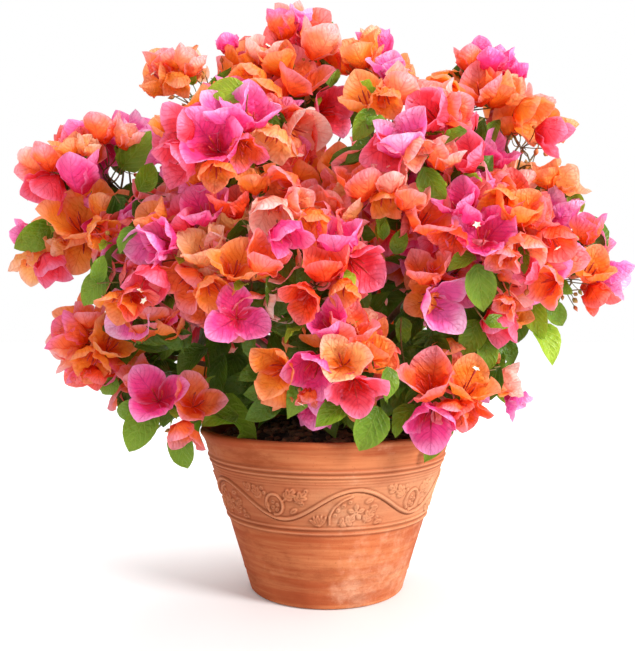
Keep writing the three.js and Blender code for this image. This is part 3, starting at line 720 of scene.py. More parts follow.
def build_soil():
    """Rings from the middle to the edge with crumbs on them, a short side wall and a flat bottom."""
    columns = 150
    turn = np.arange(columns) * 2 * np.pi / columns
    r = np.linspace(2.0, SOIL_EDGE_R, 66)[:, None]
    x, y = r * np.cos(turn), r * np.sin(turn)
    coarse, fine = smooth_noise(x / 7 + 40, y / 7 + 40, 21), smooth_noise(x / 2.9 + 90, y / 2.9 + 90, 22)
    crumbs = 1.5 * coarse + 1.0 * fine
    z = soil_z(r) + crumbs * np.clip((r - 12) / 18, 0.15, 1)
    top = np.stack([x, y, z], -1)
    side = np.stack([top[-1, :, 0], top[-1, :, 1], np.full(columns, SOIL_UNDER_Z)], -1)[None]
    under = side * [0.4, 0.4, 1]
    rings = np.concatenate([top, side, under])
    return closed_skin(rings, [0, 0, SOIL_TOP_Z], [0, 0, SOIL_UNDER_Z], downwards=True)


def build_chips(count, seed):
    """Slabs of bark: six points round a rough oval, top and bottom, with a domed middle to each."""
    random = np.random.default_rng(seed)
    turn = np.arange(6) * np.pi / 3
    r = 104 * np.sqrt(random.uniform(0.04, 1, count))
    angle = random.uniform(0, 2 * np.pi, count)
    size = random.uniform(2.2, 6.5, (count, 1)) * [1.0, 0.55, 0.22] * random.uniform(0.7, 1.3, (count, 3))
    oval = np.stack([np.cos(turn), np.sin(turn)], 1)[None] * random.uniform(0.75, 1.15, (count, 6, 1))
    flat = np.concatenate([oval, oval * 0.9, np.zeros((count, 2, 2))], 1)
    level = np.concatenate([-np.ones(6), np.ones(6), [-1.1, 1.3]])[None, :, None] * np.ones((count, 1, 1))
    body = np.concatenate([flat, level], 2) * size[:, None]
    spin, tilt = random.uniform(0, 2 * np.pi, count), random.normal(0, 0.45, count)
    c, s, ct, st = np.cos(spin), np.sin(spin), np.cos(tilt), np.sin(tilt)
    turned = np.stack([np.stack([c, -s * ct, s * st], 1), np.stack([s, c * ct, -c * st], 1),
                       np.stack([0 * c, st, ct], 1)], 1)
    body = np.einsum("nij,nkj->nki", turned, body)
    seat = np.stack([r * np.cos(angle), r * np.sin(angle), soil_z(r) + 1.2], 1)
    ring = np.arange(6)
    side = np.stack([ring, (ring + 1) % 6, (ring + 1) % 6 + 6, ring + 6], 1)
    caps = np.concatenate([np.stack([(ring + 1) % 6, ring, np.full(6, 12)], 1),
                           np.stack([ring + 6, (ring + 1) % 6 + 6, np.full(6, 13)], 1)])
    lift = (np.arange(count) * 14)[:, None, None]
    return ((body + seat[:, None]).reshape(-1, 3),
            [(side[None] + lift).reshape(-1, 4), (caps[None] + lift).reshape(-1, 3)])


def earthy(name, dark, light, scale, roughness):
    """A rough mottled finish for soil, chips, bark and the small parts of the flowers."""
    material, tree, shader = new_material(name, roughness)
    where = object_place(tree)
    tree.links.new(mottled(tree, where, scale, 0.3, dark, light), shader.inputs["Base Color"])
    grain = noise(tree, where, scale * 4, 5.0, 0.7)
    finish_with_bump(tree, shader, grain.outputs[0], 0.7, 0.001)
    return material


soil_points, soil_faces = build_soil()
make_piece("potting_soil", soil_points, soil_faces, earthy("soil", "120C08", "33241A", 160.0, 0.95),
           ["soil"])
chip_points, chip_faces = build_chips(900, 31)
make_piece("bark_chips", chip_points, chip_faces, earthy("chips", "2A1A10", "7A5234", 90.0, 0.9))

# %% [markdown]
# ## The trunk and its boughs
#
# A bougainvillea is a climber that is pruned hard in a pot, so it has a short thick stump with a
# flared foot and a head of slender boughs. The stump is a grid of rings with five soft flutes at its
# foot and long ridges of bark. The boughs follow the same rule as the solids: they are dealt round
# the trunk by how steeply they climb, and each arches out to where it enters its mass.

# %% The masses and the trunk's own sizes
TRUNK_HEIGHT, TRUNK_R, TRUNK_FLARE_R = 50.0, 15.5, 24.0
TRUNK_LEAN = np.array([0.06, -0.05])
BOUGH_STEPS, BOUGH_ARCH, BOUGH_SPACING = 5, 0.07, 8.2
CLEAR = 0.3

# Each mass: its middle, how far its tips reach, its two leading colours and its share of leaf.
MASSES = {
    "top": ((-25, -8, 506), 74, ("coral", "sunset"), 0.1),
    "top_left": ((-118, -18, 470), 78, ("coral", "orange"), 0.15),
    "left_upper": ((-216, -30, 402), 81, ("coral", "magenta"), 0.35),
    "left": ((-240, 4, 330), 78, ("coral", "orange"), 0.6),
    "left_lower": ((-196, -26, 242), 82, ("coral", "orange"), 0.7),
    "low_left": ((-128, -52, 188), 78, ("magenta", "orange"), 0.8),
    "low_right": ((92, -88, 209), 76, ("rose", "coral"), 0.7),
    "right_lower": ((164, -22, 248), 78, ("orange", "sunset"), 0.85),
    "right": ((232, 8, 316), 78, ("coral", "sunset"), 0.35),
    "right_upper": ((192, -18, 412), 79, ("orange", "apricot"), 0.15),
    "top_right": ((142, -2, 480), 76, ("magenta", "orange"), 0.1),
    "crown": ((52, -6, 486), 76, ("orange", "magenta"), 0.15),
    "front_upper_left": ((-88, -106, 402), 92, ("magenta", "orange"), 0.2),
    "front_upper_right": ((62, -110, 394), 92, ("orange", "rose"), 0.25),
    "front_left": ((-144, -100, 304), 86, ("magenta", "coral"), 0.25),
    "front_middle": ((-36, -142, 304), 90, ("apricot", "coral"), 0.4),
    "front_right": ((128, -104, 318), 90, ("magenta", "coral"), 0.45),
    "front_low": ((0, -136, 226), 78, ("orange", "magenta"), 0.55),
    "back_left": ((-146, 100, 310), 112, ("coral", "magenta"), 0.4),
    "back_right": ((144, 100, 312), 112, ("orange", "rose"), 0.4),
    "back_upper": ((0, 92, 418), 112, ("sunset", "coral"), 0.25),
    "back_low": ((0, 128, 262), 112, ("orange", "coral"), 0.6),
}
HEART = np.array([0.0, 0.0, 300.0])
FORK_RINGS = ((6, 13.0), (8, 24.0), (4, 35.0), (4, 45.0))


def trunk_point(h):
    """The trunk's middle line at a height over the soil: it leans a little to one side."""
    return np.array([TRUNK_LEAN[0] * h, TRUNK_LEAN[1] * h, SOIL_TOP_Z + CLEAR + h])


# %% The boughs' routes
def deal_boughs():
    """Sorts the boughs by climb, and spreads each ring of them round the trunk: three quarters an
    even spacing and one quarter the way to its own mass."""
    fork = trunk_point(TRUNK_HEIGHT * 0.6)
    rows = []
    for name, (at, reach, colours, leafy) in MASSES.items():
        centre = np.array(at, float)
        out = centre - fork
        rows.append({"name": name, "centre": centre, "reach": float(reach), "colours": colours,
                     "leafy": leafy, "climb": out[2] / math.hypot(out[0], out[1]),
                     "turn": math.atan2(out[1], out[0])})
    rows.sort(key=lambda row: row["climb"])
    first = 0
    for count, height in FORK_RINGS:
        ring = sorted(rows[first:first + count], key=lambda row: row["turn"])
        first += count
        step = 2 * math.pi / count
        shift = sum(row["turn"] - k * step for k, row in enumerate(ring)) / count
        for k, row in enumerate(ring):
            row["h"] = height
            row["leaves_at"] = 0.75 * (shift + k * step) + 0.25 * row["turn"]
    return rows


def bough_path(row, arch, swerve, steps):
    """Points evenly spaced on a curve with one bend: B(t) = (1-t)^2 start + 2t(1-t) bend + t^2 end."""
    out = np.array([math.cos(row["leaves_at"]), math.sin(row["leaves_at"]), 0])
    start = trunk_point(row["h"]) + out * TRUNK_R * 0.44
    way = row["centre"] - start
    length = np.linalg.norm(way)
    end = row["centre"] - way * 0.62 * row["reach"] / length
    bend = start + (end - start) * 0.42 + out * 0.05 * length
    bend = bend + np.array([-out[1], out[0], 0]) * swerve * length + [0, 0, arch * length]
    t = np.linspace(0, 1, 201)[:, None]
    curve = (1 - t) ** 2 * start + 2 * t * (1 - t) * bend + t ** 2 * end
    run = np.concatenate([[0], np.cumsum(np.linalg.norm(np.diff(curve, axis=0), axis=1))])
    wanted = np.linspace(0, run[-1], steps + 1)
    return np.stack([np.interp(wanted, run, curve[:, k]) for k in range(3)], 1)


def least_gap(points, line):
    """The least distance from any of the points to a line of straight stretches."""
    a, b = line[:-1], line[1:]
    ab = b - a
    t = ((points[:, None] - a) * ab).sum(-1) / (ab ** 2).sum(-1)
    near = a + np.clip(t, 0, 1)[..., None] * ab
    return np.linalg.norm(points[:, None] - near, axis=-1).min()


def lay_boughs():
    """Lays the boughs one by one, each with the least arch and swerve that clears those before."""
    laid = []
    for row in deal_boughs():
        best = None
        for swerve in (0, 0.04, -0.04, 0.08, -0.08, 0.12, -0.12):
            for arch in (BOUGH_ARCH, BOUGH_ARCH + 0.05, BOUGH_ARCH - 0.04, BOUGH_ARCH + 0.1):
                line = bough_path(row, arch, swerve, BOUGH_STEPS)
                t = np.linspace(0, BOUGH_STEPS, 41)
                points = np.stack([np.interp(t, np.arange(BOUGH_STEPS + 1), line[:, k]) for k in range(3)], 1)
                outside = (np.hypot(points[:, 0], points[:, 1]) >= TRUNK_R - 1) | (
                    points[:, 2] >= SOIL_TOP_Z + TRUNK_HEIGHT - 6)
                least = min([least_gap(points[outside], other["line"]) for other in laid], default=np.inf)
                if best is None or (best[0] < BOUGH_SPACING and least > best[0]):
                    best = (least, arch, swerve, line)
        laid.append({**row, "line": best[3], "arch": best[1], "swerve": best[2]})
    return laid


boughs = lay_boughs()
print("boughs:", len(boughs), "longest",
      round(max(np.linalg.norm(b["line"][-1] - b["line"][0]) for b in boughs)), "mm")


# %% Bark on trunk and boughs
def build_trunk():
    """Rings up the stump: radius from its profile, times flutes that fade upwards, plus long ridges
    of bark whose noise is stretched five times along the stem."""
    rows, columns = 84, 110
    h = np.linspace(0, TRUNK_HEIGHT, rows)
    r = np.interp(h, [0, 5, 12, 24, 36, 44, TRUNK_HEIGHT],
                  [TRUNK_FLARE_R, 19.5, 16.8, TRUNK_R, 15.2, 12, 5])
    turn = np.arange(columns) * 2 * np.pi / columns
    flute = np.interp(h, [0, 5, 12, 24], [0.14, 0.1, 0.05, 0])[:, None] * np.cos(5 * turn)
    ridge = smooth_noise(turn * 22 / (2 * np.pi) + 0 * h[:, None], h[:, None] / 9, 41, 22)
    fine = smooth_noise(turn * 44 / (2 * np.pi) + 0 * h[:, None], h[:, None] / 3, 42, 44)
    wide = r[:, None] * (1 + flute) + 0.9 * ridge + 0.45 * fine
    middle = np.stack([trunk_point(x) for x in h])
    middle[0, 2] -= 2.0         # the foot stands a little in the crumbs
    rings = np.stack([middle[:, :1] + wide * np.cos(turn), middle[:, 1:2] + wide * np.sin(turn),
                      middle[:, 2:] + 0 * wide], -1)
    return closed_skin(rings, middle[0], middle[-1] + [0, 0, 0.5])


def build_boughs():
    """Tubes that taper from the trunk to the mass, with a swelling at each old leaf knot and fine
    ridges of bark round a path with more steps than the one that was laid."""
    steps, sides = 46, 12
    paths = np.stack([bough_path(b, b["arch"], b["swerve"], steps - 1) for b in boughs])
    t = np.linspace(0, 1, steps)
    knots = 0.4 * np.abs(np.sin(np.pi * 9 * t)) ** 14
    radii = np.stack([3.5 - 1.4 * t + knots + 0.9 * np.exp(-t * 30) for _ in boughs])
    points, faces = tubes(paths, radii, sides)
    points = points.reshape(len(boughs), steps, sides, 3)
    turn = np.arange(sides)[None, None] + 0 * t[None, :, None]
    rough = np.stack([smooth_noise(turn[0] * 1.0, t[:, None] * 30 + 0 * turn[0], 50 + k, sides)
                      for k in range(len(boughs))])
    axis = paths[:, :, None, :]
    points = axis + (points - axis) * (1 + 0.13 * rough[..., None])
    return points.reshape(-1, 3), faces


bark = earthy("bark", "4E3C2A", "93795A", 70.0, 0.85)
trunk_points, trunk_faces = build_trunk()
make_piece("bark_trunk", trunk_points, trunk_faces, bark, ["trunk"])
bough_points, bough_faces = build_boughs()
make_piece("bark_boughs", bough_points, bough_faces, bark, BOUGH_NODES)


# %% [markdown]
# ## A blade: the one shape of bract and leaf
#
# Bracts and leaves are both blades: a midrib that bends as it goes, and a width to each side that
# curls about it. The grid's rows run along the midrib and its columns across. Working all blades
# out at once, as one array, takes less than a second.


# %% The blade surface
def outline(v, widest, sharpness):
    """The half width of a blade along its length, one at its widest: an ellipse from the foot to the
    widest place, then a cosine whose power sets how pointed the tip is."""
    low = np.sqrt(np.clip(1 - (1 - v / widest) ** 2, 0.02, 1))
    high = np.cos(np.pi / 2 * np.clip((v - widest) / (1 - widest), 0, 1) ** 1.12) ** sharpness
    return np.where(v < widest, low, np.maximum(high, 0.015))


def blades(root, axis, back, size, slope, cross, wave, rows, columns, widest=0.4, sharpness=1.0):
    """Points (copies, rows, columns, 3) of blades, and their map.

    root is where each blade starts, axis the way it grows and back the way its outer face looks,
    size its length and width. slope gives the angle that the midrib leans back from the axis at its
    foot, middle and tip, as a parabola through the three. cross gives how far the blade curls in at
    its edge, how far its very edge rolls back, and the fold along the midrib. wave gives the
    ripple's height, count and phase. Two slanting waves crumple the sheet a little all over."""
    copies = len(root)
    v = 1 - (1 - np.linspace(0, 1, rows)) ** 1.35
    u = np.linspace(-1, 1, columns)
    back = unit(back - (back * axis).sum(-1, keepdims=True) * axis)
    side = np.cross(axis, back)
    lean = (slope[:, 0:1] * (1 - v) * (1 - 2 * v) + 4 * slope[:, 1:2] * v * (1 - v)
            + slope[:, 2:3] * v * (2 * v - 1))
    step = size[:, 0:1] * np.diff(v)
    forward = np.cos(lean)[..., None] * axis[:, None] + np.sin(lean)[..., None] * back[:, None]
    inward = np.sin(lean)[..., None] * axis[:, None] - np.cos(lean)[..., None] * back[:, None]
    middle = np.concatenate([np.zeros((copies, 1, 3)), np.cumsum(
        (forward[:, 1:] + forward[:, :-1]) / 2 * step[..., None], axis=1)], axis=1) + root[:, None]
    half = size[:, 1:2] / 2 * outline(v, widest, sharpness)
    # across: the surface turns by this angle, whose sum gives how far it goes out and in
    ease = np.clip(v * 3, 0, 1)[None, :, None]
    turn = (cross[:, 0, None, None] * u - cross[:, 1, None, None] * u ** 5 * ease
            + cross[:, 2, None, None] * np.tanh(4 * u))
    stride = 2 / (columns - 1)
    out = np.cumsum(np.cos(turn), axis=-1) * stride
    rise = np.cumsum(np.sin(turn), axis=-1) * stride
    centre = columns // 2
    out = (out - out[..., centre:centre + 1]) * half[..., None]
    rise = (rise - rise[..., centre:centre + 1]) * half[..., None]
    ripple = wave[:, 0, None, None] * np.abs(u) ** 1.6 * np.sin(
        wave[:, 1, None, None] * 2 * np.pi * v[None, :, None] + wave[:, 2, None, None] + 2.4 * (u > 0))
    frill = 0.4 * wave[:, 0, None, None] * u ** 4 * np.sin(
        wave[:, 1, None, None] * 17 * v[None, :, None] + 2 * wave[:, 2, None, None] + 1.3 * (u > 0))
    across, phase = u[None, None], wave[:, 2, None, None]
    crumple = 0.45 * wave[:, 0, None, None] * (
        np.sin(6.9 * across + 10.4 * v[None, :, None] + 3.1 * phase)
        + np.sin(-4.6 * across + 16.2 * v[None, :, None] + 1.7 * phase))
    ripple = (ripple + frill + crumple) * np.sin(np.pi * v ** 0.8)[None, :, None]
    points = (middle[:, :, None] + out[..., None] * side[:, None, None]
              + (rise + ripple)[..., None] * inward[:, :, None])
    place = np.stack(np.meshgrid(v, (u + 1) / 2, indexing="ij")[::-1], -1)
    return points, np.broadcast_to(place, points.shape[:3] + (2,))


# %% [markdown]
# ## Growing the crown
#
# From each bough's tip a stem runs on into its mass. Sprays leave it in directions spread evenly by
# the golden angle, each ends where its blooms just reach the mass's limit, and a place is skipped if
# it is taken, lies in a neighbour's space or would touch the pot. A spray is a twig with leaves
# and a handful of blooms on short stalks, and it deals its blooms out of its mass's two colours and
# the colours next to them.

# %% Growth rules
EYE = np.array([EYE_SIDE, -EYE_DISTANCE, EYE_HEIGHT])
SPRAY_SPACING = 45.0
SPRAY_DEPTH = 50.0            # from a spray's fork to the tips of its bracts
SPRAY_MIDDLE = 30.0           # from its fork to the middle of its blooms
SPRAYS_PER_REACH = 0.42       # directions tried in each of two sets, for each millimetre of reach
CELL_OVERLAP = 14.0
TRIALS = 9                    # depths tried in each direction
LOW_Z = 285.0                 # sprays under this height droop more and carry more leaves
BRACT_LENGTH, BRACT_WIDTH = 38.0, 0.96
LEAF_LENGTH, LEAF_WIDTH = 52.0, 33.0
NEIGHBOUR_COLOURS = {
    "orange": ("apricot", "scarlet", "sunset"), "apricot": ("orange", "salmon", "blush"),
    "scarlet": ("orange", "coral", "sunset"), "coral": ("scarlet", "salmon", "rose"),
    "salmon": ("coral", "blush", "apricot"), "blush": ("salmon", "apricot", "lilac"),
    "rose": ("coral", "magenta", "sunset"), "magenta": ("rose", "lilac", "sunset"),
    "lilac": ("magenta", "rose", "blush"), "sunset": ("coral", "orange", "rose"),
}


def golden_directions(count, phase):
    """Directions spread evenly over a sphere, by turning the golden angle from each to the next."""
    golden = math.pi * (3 - math.sqrt(5))
    k = np.arange(count)
    z = 1 - 2 * (k + 0.5) / count
    r = np.sqrt(1 - z * z)
    return np.stack([r * np.cos(golden * k + phase), r * np.sin(golden * k + phase), z], 1)


def in_own_space(row, point):
    """True where a point lies in its own mass's space, as far as masses may interlock."""
    own = ((point - row["centre"]) ** 2).sum() - row["reach"] ** 2
    for other in boughs:
        if other is not row:
            apart = np.linalg.norm(row["centre"] - other["centre"])
            theirs = ((point - other["centre"]) ** 2).sum() - other["reach"] ** 2
            if theirs - own < -2 * CELL_OVERLAP * apart:
                return False
    return True


FLOOR_MARGIN = 20.0


def over_pot(point, margin):
    """True where a point keeps clear of the pot and the soil."""
    r = math.hypot(point[0], point[1])
    if r < POT_RIM_R + margin:
        return point[2] > POT_HEIGHT + margin
    return point[2] > FLOOR_MARGIN


for row in boughs:
    row["foot"] = row["line"][-1] + unit(row["line"][-1] - row["line"][-2]) * CLEAR
    row["hub"] = row["foot"] + (row["centre"] - row["foot"]) * 0.8

# %% [markdown]
# ### The front of the crown
#
# What gives this bush its face is where its blooms sit, so the front is planned bloom by bloom, as
# a gardener might tie them in. The plan is a sheet 635 by 651 mm that stands on the pot's axis and
# is seen from the eye. Each line gives a bloom's middle across and down the sheet, its colour, the
# way it points on the sheet in degrees (90 is up), how many degrees it turns to the eye, how open
# it is from 0 to 1, and its bracts' length as seen on the sheet. Its depth isn't in the plan: it
# sits where the line of sight first comes within a bloom's half of a mass's reach.

# %% The plan of blooms
BLOOM_PLAN = """
283 24 sunset 95 15 .15 36; 301 19 lilac 75 10 .25 26; 319 40 salmon 70 20 .25 44
277 60 orange 100 30 .3 36; 243 58 orange 92 20 .3 34; 262 50 blush 80 25 .4 32; 228 44 magenta 105 15 .3 24
301 78 coral 70 35 .35 46; 276 92 scarlet 120 30 .3 34; 330 110 rose 15 55 .4 40; 300 132 blush 340 35 .5 44
272 140 apricot 250 30 .4 36; 248 112 magenta 85 35 .45 48; 226 108 lilac 110 30 .4 42
213 142 magenta 120 60 .45 46; 179 127 rose 165 35 .35 41; 178 158 rose 215 30 .25 44
216 172 orange 270 30 .3 34; 245 150 sunset 300 40 .4 32; 165 66 coral 105 20 .2 38
190 62 salmon 75 15 .25 34; 158 84 orange 140 25 .3 30; 178 82 orange 265 20 .3 28
283 188 coral 170 45 .35 46; 306 172 orange 60 25 .3 38; 255 180 orange 100 30 .4 34
272 212 blush 260 35 .35 42; 312 220 orange 280 30 .35 34; 232 204 scarlet 100 20 .3 38
204 208 magenta 110 35 .45 42; 177 222 rose 120 30 .3 42; 153 217 orange 130 30 .4 34
148 250 lilac 200 35 .45 42; 163 240 magenta 160 40 .4 38; 205 250 apricot 110 35 .4 42
235 264 orange 80 40 .45 40; 265 258 coral 60 25 .35 44; 186 284 coral 230 35 .4 46
212 290 orange 290 35 .4 34; 150 280 rose 250 25 .35 40; 285 236 magenta 300 30 .4 38
300 205 salmon 20 30 .35 34; 340 238 magenta 95 30 .35 42; 361 268 rose 320 40 .45 44
325 264 scarlet 100 25 .3 44; 304 298 scarlet 230 45 .45 34; 345 290 orange 270 30 .4 30
363 306 salmon 310 35 .45 40; 238 315 magenta 60 75 .9 33; 202 308 coral 200 35 .4 36
205 338 rose 275 20 .2 42; 330 322 magenta 120 35 .4 38; 350 328 coral 70 30 .35 46
276 370 orange 200 60 .35 40; 312 370 magenta 240 45 .45 42; 343 360 apricot 90 70 .4 34
376 348 orange 40 30 .35 34; 356 392 rose 280 45 .5 40; 308 397 coral 260 20 .3 22
427 380 coral 100 45 .4 48; 430 422 magenta 265 45 .4 44; 470 384 orange 60 40 .4 44
494 378 orange 20 30 .4 34; 509 380 blush 10 15 .3 34; 516 402 lilac 320 15 .3 28
468 410 scarlet 290 35 .35 32; 453 412 coral 240 30 .4 32; 440 305 lilac 340 45 .5 44
424 300 orange 190 35 .4 34; 427 270 coral 100 35 .4 38; 425 215 coral 60 40 .35 48
452 238 scarlet 250 35 .4 32; 483 235 magenta 80 62 .55 38; 459 202 magenta 110 30 .4 38
474 214 magenta 60 30 .4 34; 518 209 orange 65 35 .35 44; 492 178 apricot 95 30 .35 44
519 180 blush 70 20 .35 36; 500 205 orange 230 40 .4 36; 523 250 salmon 280 30 .4 42
505 258 coral 250 30 .4 30; 552 240 scarlet 300 30 .35 40; 537 215 coral 30 25 .3 34
561 206 lilac 60 20 .35 40; 559 224 magenta 10 25 .3 36; 567 250 lilac 310 15 .3 30
588 229 sunset 85 20 .25 36; 591 268 orange 60 35 .45 36; 614 279 lilac 350 15 .3 38
597 297 scarlet 300 20 .3 32; 546 284 coral 200 35 .45 36; 528 272 rose 150 20 .4 26
505 305 coral 230 25 .4 24; 546 176 orange 95 20 .25 29; 571 181 apricot 30 20 .3 33
371 38 apricot 95 15 .15 26; 360 52 orange 110 25 .35 36; 387 66 lilac 88 30 .4 30
404 88 salmon 60 25 .3 42; 364 96 orange 110 35 .35 42; 385 100 orange 280 30 .4 30
437 95 salmon 95 25 .3 32; 432 113 rose 130 40 .35 42; 455 112 coral 20 30 .35 36; 468 58 coral 95 15 .1 30
494 60 magenta 90 15 .25 34; 516 70 magenta 60 15 .2 26; 478 88 coral 100 35 .3 42
498 92 orange 60 30 .4 36; 512 92 apricot 40 25 .35 32; 537 104 salmon 60 20 .3 34
530 116 orange 340 30 .4 38; 552 134 rose 345 20 .2 37; 400 138 lilac 95 35 .35 48
388 152 rose 230 30 .3 40; 416 150 salmon 320 25 .3 34; 443 155 salmon 60 25 .3 36
466 156 rose 110 30 .35 42; 495 152 magenta 60 25 .35 38; 361 182 coral 95 25 .3 46
390 180 blush 90 25 .3 38; 386 202 orange 270 30 .3 34; 410 196 salmon 60 25 .35 38
345 205 apricot 120 35 .4 42; 371 248 scarlet 290 20 .4 26; 328 195 coral 150 25 .35 36
103 127 coral 95 15 .2 36; 127 137 salmon 60 20 .25 32; 68 147 orange 110 25 .35 27
88 146 apricot 60 20 .3 25; 38 162 salmon 105 20 .2 38; 50 155 coral 100 20 .3 36
82 172 magenta 92 20 .15 48; 48 190 rose 230 25 .3 42; 30 178 coral 200 20 .3 34
76 218 orange 110 50 .45 44; 106 203 orange 70 25 .3 38; 86 248 orange 270 35 .4 40
100 232 orange 320 40 .4 30; 58 248 apricot 200 20 .2 22; 31 265 apricot 252 20 .2 36
51 267 rose 292 20 .2 37; 22 234 magenta 160 15 .2 28; 70 333 sunset 155 20 .3 42; 90 316 coral 100 25 .3 30
65 350 salmon 200 20 .3 38; 112 342 orange 60 45 .45 36; 92 362 orange 250 35 .4 36
92 377 scarlet 260 20 .3 26; 118 304 orange 240 30 .4 34; 134 298 scarlet 300 40 .4 32
136 376 coral 130 25 .3 32; 156 394 magenta 110 62 .6 36; 197 400 coral 60 55 .6 33
184 434 coral 265 25 .25 34
"""

# Leaves: across, down, the way the tip points, length on the sheet and kind.
# Deep leaves stand where the crown is in shade, and bright ones where it is lit: painted shade and painted
# light.
LEAF_PLAN = """
34 238 215 46 middle; 137 150 50 50 middle; 147 176 60 34 middle; 147 193 200 54 deep; 130 190 150 36 deep
93 290 240 46 middle; 100 268 80 30 middle; 225 90 170 44 bright; 333 75 80 24 middle; 363 126 240 38 middle
364 150 200 50 deep; 345 158 190 40 deep; 434 186 300 42 middle; 452 136 200 30 middle
494 131 260 26 middle; 577 203 300 24 bright; 377 120 20 22 middle; 141 331 250 34 deep; 176 340 200 34 deep
150 318 120 28 deep; 219 378 260 52 deep; 235 416 338 64 middle; 215 350 250 40 deep; 139 431 242 51 middle
182 452 278 49 middle; 166 414 250 30 deep; 108 388 230 26 middle; 228 372 250 44 deep
331 414 210 42 middle; 369 431 250 52 middle; 404 333 280 34 middle; 290 313 190 48 deep
262 300 200 40 deep; 392 263 250 40 middle; 400 240 70 30 middle; 381 225 100 30 middle
434 448 232 36 middle; 481 290 280 52 middle; 538 321 280 44 bright; 547 343 300 46 bright
557 315 310 31 middle; 471 339 250 42 middle; 497 336 290 44 bright; 445 336 200 44 deep
518 326 270 40 deep; 487 356 280 34 middle; 500 322 0 30 middle; 404 355 260 36 deep; 400 400 250 34 deep
388 385 270 36 middle; 255 345 260 50 deep; 420 345 230 40 deep; 300 345 120 40 deep; 305 275 240 36 deep
56 216 260 34 middle; 125 240 220 34 middle; 461 261 200 34 middle; 495 265 250 34 deep
521 263 260 34 middle; 402 420 230 40 middle; 415 405 260 40 deep; 388 402 280 40 deep; 508 350 300 32 deep
236 384 200 42 deep; 566 288 300 20 middle; 190 362 220 46 deep; 412 333 250 40 deep; 425 372 240 40 deep
262 410 210 44 deep; 445 312 250 36 deep; 350 408 300 34 deep; 300 352 200 44 deep; 392 300 250 46 deep
385 285 120 40 deep; 412 320 230 44 deep; 245 392 240 44 deep; 255 372 200 40 deep; 440 352 300 40 deep
128 410 200 34 middle; 244 356 100 46 deep; 240 372 300 44 deep; 302 310 200 44 deep; 300 322 80 44 deep
262 392 190 46 deep; 219 419 192 40 middle
"""


SHEET_AXIS = IMAGE_WIDTH / 2 - EYE_SIDE                            # where the pot's axis is across it
SHEET_GROUND = IMAGE_HEIGHT / 2 - HORIZON_RISE + EYE_HEIGHT        # and the ground down it
BLOOM_SINK, LEAF_SINK = 22.0, 20.0      # how far within a mass's reach their middles lie


def sight(across, down):
    """The direction from the eye through a place on the sheet."""
    return unit(np.array([across - SHEET_AXIS, 0.0, SHEET_GROUND - down]) - EYE)


def on_sheet(point):
    """Where a point is seen across and down the sheet."""
    way = (point - EYE) * -EYE[1] / (point[1] - EYE[1])
    return np.array([EYE[0] + way[0] + SHEET_AXIS, SHEET_GROUND - EYE[2] - way[2]])


def first_place(way, sink):
    """Where a line of sight first comes within sink of a mass's reach, and that mass's bough. A line
    that passes them all stops where it comes nearest to the reach of one."""
    best, near = None, None
    for row in boughs:
        to = row["centre"] - EYE
        along = to @ way
        past = math.sqrt(max(to @ to - along ** 2, 0))
        radius = row["reach"] - sink
        if past < radius:
            t = along - math.sqrt(radius ** 2 - past ** 2)
            if best is None or t < best[0]:
                best = (t, row)
        if near is None or past - radius < near[0]:
            near = (past - radius, along, row)
    t, row = best if best else near[1:]
    return EYE + way * t, row, t


def screen_frame(way, turn, facing):
    """A direction that points by turn degrees round the sheet and facing degrees towards the eye."""
    turn, facing = math.radians(turn), math.radians(facing)
    flat = np.array([math.cos(turn), 0.0, math.sin(turn)])
    return unit(flat * math.cos(facing) - way * math.sin(facing))


def read_plan(text):
    """The plan's entries as lists of numbers and words."""
    entries = [entry.split() for entry in text.replace("\n", ";").split(";") if entry.strip()]
    return [[word if word.isalpha() else float(word) for word in entry] for entry in entries]


bloom_plan, leaf_plan = read_plan(BLOOM_PLAN), read_plan(LEAF_PLAN)
planned_places = np.array([entry[:2] for entry in bloom_plan])
print("planned blooms:", len(bloom_plan), "planned leaves:", len(leaf_plan))


# %% [markdown]
# ### The rest of the crown
#
# Behind the planned front and all round the sides and the back the crown grows by rule. The rule
# leaves the sky open where the front does: a spray is kept only if a planned bloom hides it.


# %% What the front hides
# For each thing that grows by rule: how near a planned bloom it is on the sheet, at most, and how far
# behind the planned front, at least.
COVER = {"spray": (22, 27), "bloom": (25, 14), "leaf": (24, 12), "inner leaf": (26, 30),
         "low leaf": (70, 20)}
# Places on the sheet where the sky shows through or into the crown: across, down and half width.
SKY_PLACES = np.array([
    (345, 136, 14), (385, 118, 10), (345, 88, 8), (432, 60, 15), (345, 34, 9), (262, 26, 9), (213, 50, 9),
    (130, 92, 15), (190, 95, 8), (118, 178, 12), (148, 163, 9), (160, 178, 8), (30, 208, 12),
    (76, 282, 11), (100, 312, 6), (515, 152, 12), (570, 214, 7), (577, 304, 11), (515, 352, 10),
    (546, 366, 12), (505, 430, 14), (160, 455, 14), (200, 448, 8), (92, 412, 12), (415, 108, 6),
    (375, 134, 7), (568, 150, 10), (624, 236, 10), (404, 36, 11), (90, 96, 10), (110, 395, 6),
    (60, 395, 8), (38, 206, 9), (76, 271, 9), (210, 68, 8), (42, 130, 10), (556, 90, 10), (8, 150, 8),
    (458, 36, 9), (478, 113, 5), (530, 388, 8), (78, 112, 8), (122, 106, 10), (522, 155, 11),
    (540, 150, 8), (486, 424, 10), (70, 394, 9), (64, 296, 8), (150, 105, 11), (618, 236, 10),
    (538, 84, 9),
])


def open_to_sky(point, half):
    """True where a round thing of that half width would close one of the sky's places."""
    across, down = on_sheet(point)
    return (np.hypot(SKY_PLACES[:, 0] - across, SKY_PLACES[:, 1] - down) < SKY_PLACES[:, 2] + half).any()


def hidden_by_plan(point, thing):
    """True where a point lies behind the planned front and near one of its blooms on the sheet."""
    distance, behind = COVER[thing]
    if np.hypot(*(planned_places - on_sheet(point)).T).min() > distance:
        return False
    return np.linalg.norm(point - EYE) - first_place(unit(point - EYE), BLOOM_SINK)[2] > behind


